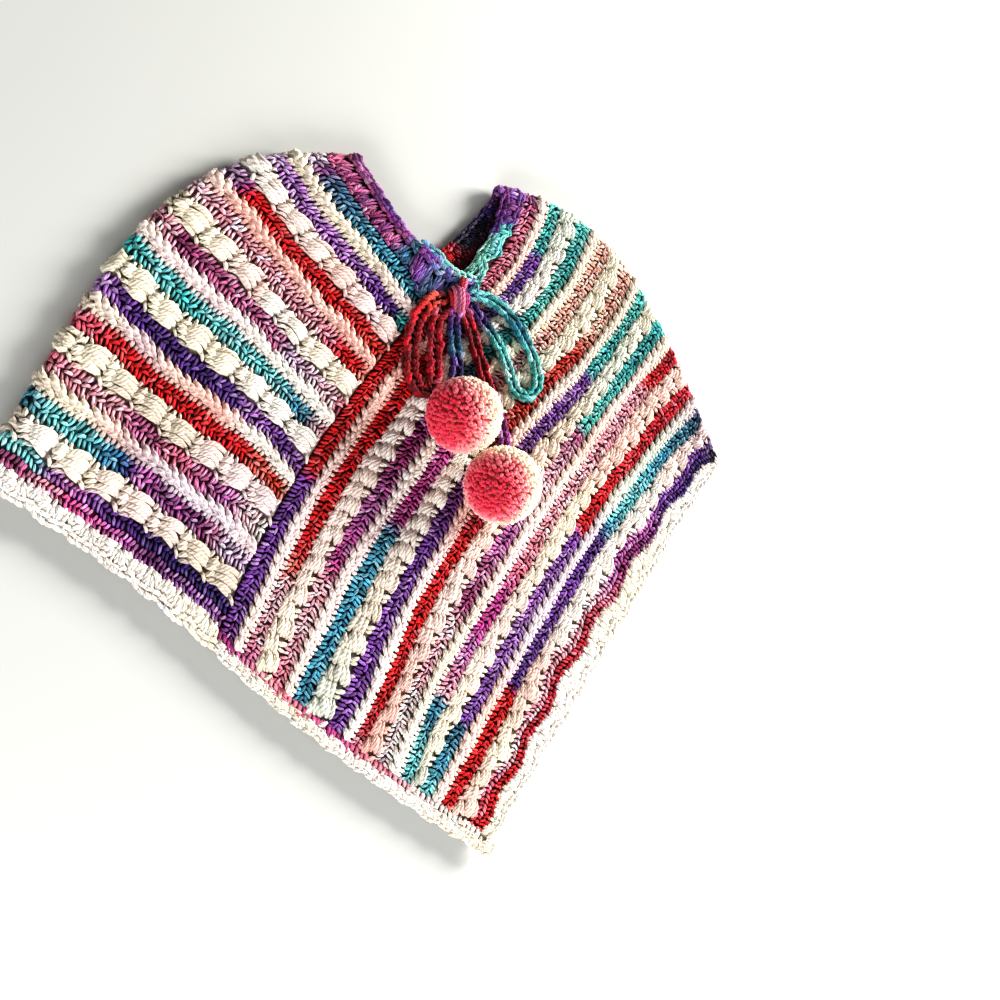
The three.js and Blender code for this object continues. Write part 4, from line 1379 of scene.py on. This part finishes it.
# %% Cord routes
CORD = 5.5
ROUTES = {
    "drawstring_loop_left": {
        "wide": 1.55, "aside": 1.9, "flecks": 0.08,
        # Red yarn; the outer arm and bottom are painted darker, oxblood, as shade, and the top bend near
        # the knot gets a coral painted highlight.
        "colours": "0 dark_red, 7 coral, 13 red, 20 dark_red, 30 oxblood, 55 oxblood, 66 dark_red, "
                   "85 dark_red, 100 oxblood",
        "at": [(16.2, 132), (8, 129), (0, 121), (-5.5, 108), (-7.5, 94), (-7, 80), (-2, 69), (7, 68),
               (11.5, 78), (12, 92), (12, 106), (14, 117), (17.5, 124.6)]},
    "drawstring_loop_right": {
        "wide": 1.15, "aside": 0.4, "flecks": 0.5,
        "colours": "0 deep_teal, 6 aqua, 12 teal, 25 deep_teal, 45 sea, 55 teal, 72 aqua, 84 teal, "
                   "92 indigo, 100 deep_purple",
        "at": [(33.4, 133.5), (43, 134), (54, 130), (64, 122), (73, 109), (80, 95), (82, 82), (76, 73),
               (67, 76), (62, 87), (57, 100), (49, 112), (41.5, 120.5), (35.6, 127.2)]},
    "drawstring_tail_short": {
        "wide": 1.35, "aside": 0, "flecks": 0.3,
        "colours": "0 plum, 20 indigo, 45 deep_teal, 60 indigo, 85 navy, 100 indigo",
        "at": [(24.2, 124), (22.5, 114), (23.5, 102), (25, 90), (24.5, 78), (23.5, 68.3)]},
    "drawstring_tail_long": {
        "wide": 1.25, "aside": 0, "flecks": 0.1,
        "colours": "0 mauve, 8 crimson, 16 oxblood, 50 dark_red, 80 plum, 100 plum",
        "at": [(30.3, 124.6), (33.8, 114), (38, 101), (43, 87), (49, 71), (55, 55), (58, 41),
               (55.5, 30), (53, 25.6)]},
}
CHAIN = {"pitch": 4.6, "strands": strands(
    ((-1.4, 0.2, 0.8), (2.2, 2.1, 1.7), (6, 0.9, 0.8), 3.1),
    ((-1.4, -0.2, 0.8), (2.2, -2.1, 1.7), (6, -0.9, 0.8), 3.1),
    ((-0.6, 1.8, -0.8), (1.8, 2.5, -0.4), (4.8, 1.9, -0.7), 2.4),
    ((-0.6, -1.8, -0.8), (1.8, -2.5, -0.4), (4.8, -1.9, -0.7), 2.4))}


print(len(ROUTES), "lengths of cord")

# %% Drawstring
def core_tube(route, radius, sides, rings):
    """A closed smooth tube along a route: places, faces and ring centres in metres."""
    x = np.linspace(0, route.length, rings)
    turn = 2 * math.pi * np.arange(sides) / sides
    ring = np.broadcast_arrays(x[:, None], radius * np.cos(turn), radius * np.sin(turn))
    flat = np.stack(ring, axis=-1)
    centres = route.place(np.column_stack([x, 0 * x, 0 * x]))
    places = np.concatenate([centres[:1], route.place(flat).reshape(-1, 3), centres[-1:]])
    return places, tube_faces(rings, sides), centres


cords, chains = {}, {}
for node, cord in ROUTES.items():
    route = Route(cord["at"], REST + CORD / 2)
    colour = between(chart_line(cord["colours"]), 0, route.length)
    places, faces, centres = core_tube(route, 2.0, 8, 60)
    shades = colour(np.linspace(0, route.length, len(places))[:, None]) * GROUND_SHADE
    cords[node] = make_mesh(node + "_core", cotton_ground, places, faces, shades)
    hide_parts(node)
    links = stitch_points(CHAIN["strands"], even_starts(0, route.length, CHAIN["pitch"])[0])
    points, thick = loosen(*links, 0.28, 9)
    points = points * (1, cord["wide"], 1) + (0, cord["aside"], 0)
    work = Work()
    lay(work, route, points, thick * (0.5 + 0.5 * cord["wide"]),
        dye(colour(points[:, 1]), 0.3, cord["flecks"]))
    chains[node] = work.build(node + "_chain", cotton_yarn)
    cord["length"], cord["centres"] = route.length * MM, centres
    print(f"{node}: {route.length:.0f} mm")

# %% [markdown]
# ## The knot
#
# The bow's knot is the same cord, pulled tight. A real knot goes over and under
# itself, but only its top shows, so it is six turns side by side over a small hump,
# and two that go up to the bottom of the V.

# %% Knot
KNOT = {"x": 25, "y": 131, "long": 8, "wide": 6, "high": 4.3}
TURNS = strands(
    ((-5.6, 5, -2.4), (-4.8, -1, 3.4), (-3.4, -8.2, -2.8), 3.4),
    ((-3.4, 7.6, -1.4), (-2.6, 0, 4.6), (-1.4, -11, -2.2), 3.5),
    ((-1, 9.6, -1), (-0.4, 0.4, 5.4), (0.8, -12.6, -1.8), 3.5),
    ((1.6, 9, -1), (1.8, 0.2, 5.2), (3.2, -12.8, -1.8), 3.4),
    ((3.6, 6.8, -1.6), (3.8, 0.2, 4.4), (5.2, -9.8, -2), 3.4),
    ((5.6, 4.8, -2.4), (6.2, 0.4, 3), (6.4, -5.6, -2.6), 3.2),
    ((0.2, 5, 1.4), (1.6, 9.4, 3.2), (3.6, 14.6, 0), 3.6),
    ((2.6, 4.4, 1.2), (4, 8.6, 2.8), (6.4, 13.6, 0), 3.2))
TURN_YARNS = ("crimson", "rose", "mauve", "rose", "dark_magenta", "magenta", "dark_red", "rose")
centre = np.array([KNOT["x"], KNOT["y"], REST + KNOT["high"]])
places, faces, twist = strand_tubes(*stitch_points(TURNS, np.zeros(1)))
work = Work()
work.add(on_table(places + centre), faces, dye(np.array([YARN[yarn] for yarn in TURN_YARNS])),
         twist * (1, 1, MM))


def ball_arrays(centre, radii, around, down):
    """A closed ball of triangles: places in metres and faces."""
    tilt = math.pi * np.arange(1, down) / down
    turn = 2 * math.pi * np.arange(around) / around
    wide, high = np.sin(tilt)[:, None], np.cos(tilt)[:, None]
    ring = np.stack(np.broadcast_arrays(wide * np.cos(turn), wide * np.sin(turn), high), axis=-1)
    unit = np.concatenate([[[0, 0, 1]], ring.reshape(-1, 3), [[0, 0, -1]]])
    return on_table(unit * radii + centre), tube_faces(down - 1, around)[:, ::-1]


radii = np.array([KNOT["long"], KNOT["wide"], KNOT["high"]]) - 1.2
hump, hump_faces = ball_arrays(centre, radii, 16, 10)
work.add(hump[None], hump_faces, YARN["dark_red"] * GROUND_SHADE)
knot = work.build("drawstring_knot_turns", cotton_yarn)
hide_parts("drawstring_knot")

# %% [markdown]
# ## Pom-poms
#
# A pom-pom is some hundreds of cut yarn ends that stand out from a tied middle. Hair
# would show single fibres, but here the ends are seen as whole bits of yarn, so each
# is a blunt little tuft on a ball, at places spread evenly by the golden angle and then
# jittered. The yarn is variegated pink, and its tufts are laid out by the light: deep
# pink, as painted shade, on the side away from the window, then pink and peach, and
# pale cream, as painted light, on the side towards it.

# %% Pom-pom tufts
def tuft_arrays(roots, tips, thick, sides=6):
    """Blunt tufts from roots to tips (N, 3), with slightly rounded tops."""
    axis = tips - roots
    axis /= np.linalg.norm(axis, axis=1, keepdims=True)
    aside = np.cross(axis, (0.31, 0.22, 0.92))
    aside /= np.linalg.norm(aside, axis=1, keepdims=True)
    other = np.cross(axis, aside)
    turn = 2 * math.pi * np.arange(sides) / sides
    ring = aside[:, None] * np.cos(turn)[:, None] + other[:, None] * np.sin(turn)[:, None]
    levels = [(roots, 0.7), (tips - axis * thick[:, None] * 0.35, 1.0), (tips, 0.72)]
    rings = [base[:, None] + ring * (thick / 2 * grow)[:, None, None] for base, grow in levels]
    top = tips + axis * thick[:, None] * 0.14
    return np.concatenate([roots[:, None]] + rings + [top[:, None]], axis=1), tube_faces(3, sides)


print("a tuft has", len(tube_faces(3, 6)), "triangles")

# %% Pom-poms
GOLDEN = math.pi * (3 - math.sqrt(5))
TUFTS = 1050


def pompom(name, spec, shaded_side, chart):
    """A ball of tufts, coloured by the degrees from its shaded side: deep pink there as painted shade, pale
    cream as painted light on the side towards the window.
    """
    work = Work()
    radii = np.array([spec["radius"], spec["radius"], spec["high"]])
    centre = np.array([spec["x"], spec["y"], REST + spec["high"]])
    index = np.arange(TUFTS) + 0.5
    level = 1 - 2 * index / TUFTS
    spin = GOLDEN * index
    flat = np.sqrt(1 - level ** 2)
    way = np.stack([flat * np.cos(spin), flat * np.sin(spin), level], axis=1)
    way += rng.normal(0, 0.03, way.shape)
    way /= np.linalg.norm(way, axis=1, keepdims=True)
    reach = np.minimum(rng.normal(0.99, 0.013, (TUFTS, 1)), 1.03)
    places, faces = tuft_arrays(way * radii * 0.8, way * radii * reach, rng.normal(2.9, 0.25, TUFTS))
    # Tufts turned away from the window get painted shade, those turned towards it painted light.
    deep = np.array(shaded_side) / np.linalg.norm(shaded_side)
    angle = np.degrees(np.arccos(np.clip(way @ deep, -1, 1))) + rng.normal(0, 5, TUFTS)
    work.add(on_table(places + centre), faces, dye(colour_at(chart, angle), 0.08))
    core, core_faces = ball_arrays(centre, radii * 0.9, 24, 16)
    # Painted shade: the ball under the tufts is coral darkened to 0.7.
    work.add(core[None], core_faces, YARN["coral"] * 0.7)
    ball = work.build(name + "_tufts", pompom_yarn)
    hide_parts(name)
    return ball


# Degrees from the shaded side: deep pink there is painted shade, and pale cream on the far side is painted
# light.
UPPER_CHART = chart_line("0 pompom_deep, 40 pompom_deep, 60 pompom_pink, 80 pompom_peach, "
                         "104 pompom_pale, 180 pompom_pale", whole=1)
LOWER_CHART = chart_line("0 pompom_deep, 32 pompom_deep, 50 pompom_pink, 68 pompom_peach, "
                         "76 pompom_pale, 180 pompom_pale", whole=1)
pompoms = {
    "pompom_upper": pompom("pompom_upper", POMPOMS["pompom_upper"], (-0.9, -0.2, 0.42), UPPER_CHART),
    "pompom_lower": pompom("pompom_lower", POMPOMS["pompom_lower"], (-0.72, -0.25, 0.65), LOWER_CHART),
}

# %% [markdown]
# ## Table and light
#
# The poncho lies on a white painted table, matte enough to give no mirror image. The
# light is daylight: a window low at the right, so that every stitch has a light side
# and a shadow, and a wide pale wall in front that fills the shadows. A sun lamp would
# be simpler but its shadows are hard, so both are lamps with a size. The strong
# contrast setting deepens the gaps between the stitches.

# %% Table and light
def box_light(name, place, aim, size, power, colour):
    """A rectangular lamp at a place that shines at another, both in metres."""
    data = bpy.data.lights.new(name, "AREA")
    data.shape = "RECTANGLE"
    data.size, data.size_y = size
    data.energy = power
    data.color = colour
    lamp = bpy.data.objects.new(name, data)
    lamp.location = Vector(place)
    lamp.rotation_mode = "QUATERNION"
    lamp.rotation_quaternion = (Vector(place) - Vector(aim)).to_track_quat("Z", "Y")
    bpy.context.scene.collection.objects.link(lamp)
    return lamp


def paint_material(name, code, roughness):
    """Matte paint: an even colour with a very soft, wide shine."""
    material = bpy.data.materials.new(name)
    material.use_nodes = True
    surface = material.node_tree.nodes["Principled BSDF"]
    surface.inputs["Base Color"].default_value = (*linear(code), 1)
    surface.inputs["Roughness"].default_value = roughness
    return material


FLOOR_CORNERS = [(-6, -6, 0), (6, -6, 0), (6, 6, 0), (-6, 6, 0)]
floor_mesh = bpy.data.meshes.new("floor")
floor_mesh.from_pydata(FLOOR_CORNERS, [], [(0, 1, 2, 3)])
floor_mesh.materials.append(paint_material("painted_white_table", "#d2d3cf", 0.6))
floor = bpy.data.objects.new("floor", floor_mesh)
bpy.context.scene.collection.objects.link(floor)

window = box_light("window", (1.35, 0.52, 0.62), (0.05, 0, 0), (0.7, 0.55), 38, (1.0, 0.99, 0.97))
fill = box_light("fill", (-0.45, -1.1, 0.55), (-0.2, -0.5, 0), (1.6, 0.5), 17, (0.97, 0.98, 1.0))
world = bpy.data.worlds.new("room")
world.use_nodes = True
background = world.node_tree.nodes["Background"].inputs
background["Color"].default_value = (1.0, 0.98, 0.95, 1)
background["Strength"].default_value = 0.21
bpy.context.scene.world = world
bpy.context.scene.view_settings.view_transform = "Standard"
bpy.context.scene.view_settings.look = "High Contrast"
print("window", window.data.energy, "W, fill", fill.data.energy, "W")

# %% [markdown]
# ## What is soft
#
# Each panel was crocheted flat, 235 mm wide and 460 mm long, and lies folded over its
# shoulder. The two loops of the bow leave the knot and come back to it, and the tails
# end at their pom-poms.

# %% Soft pieces
for node, core in cords.items():
    cord = ROUTES[node]
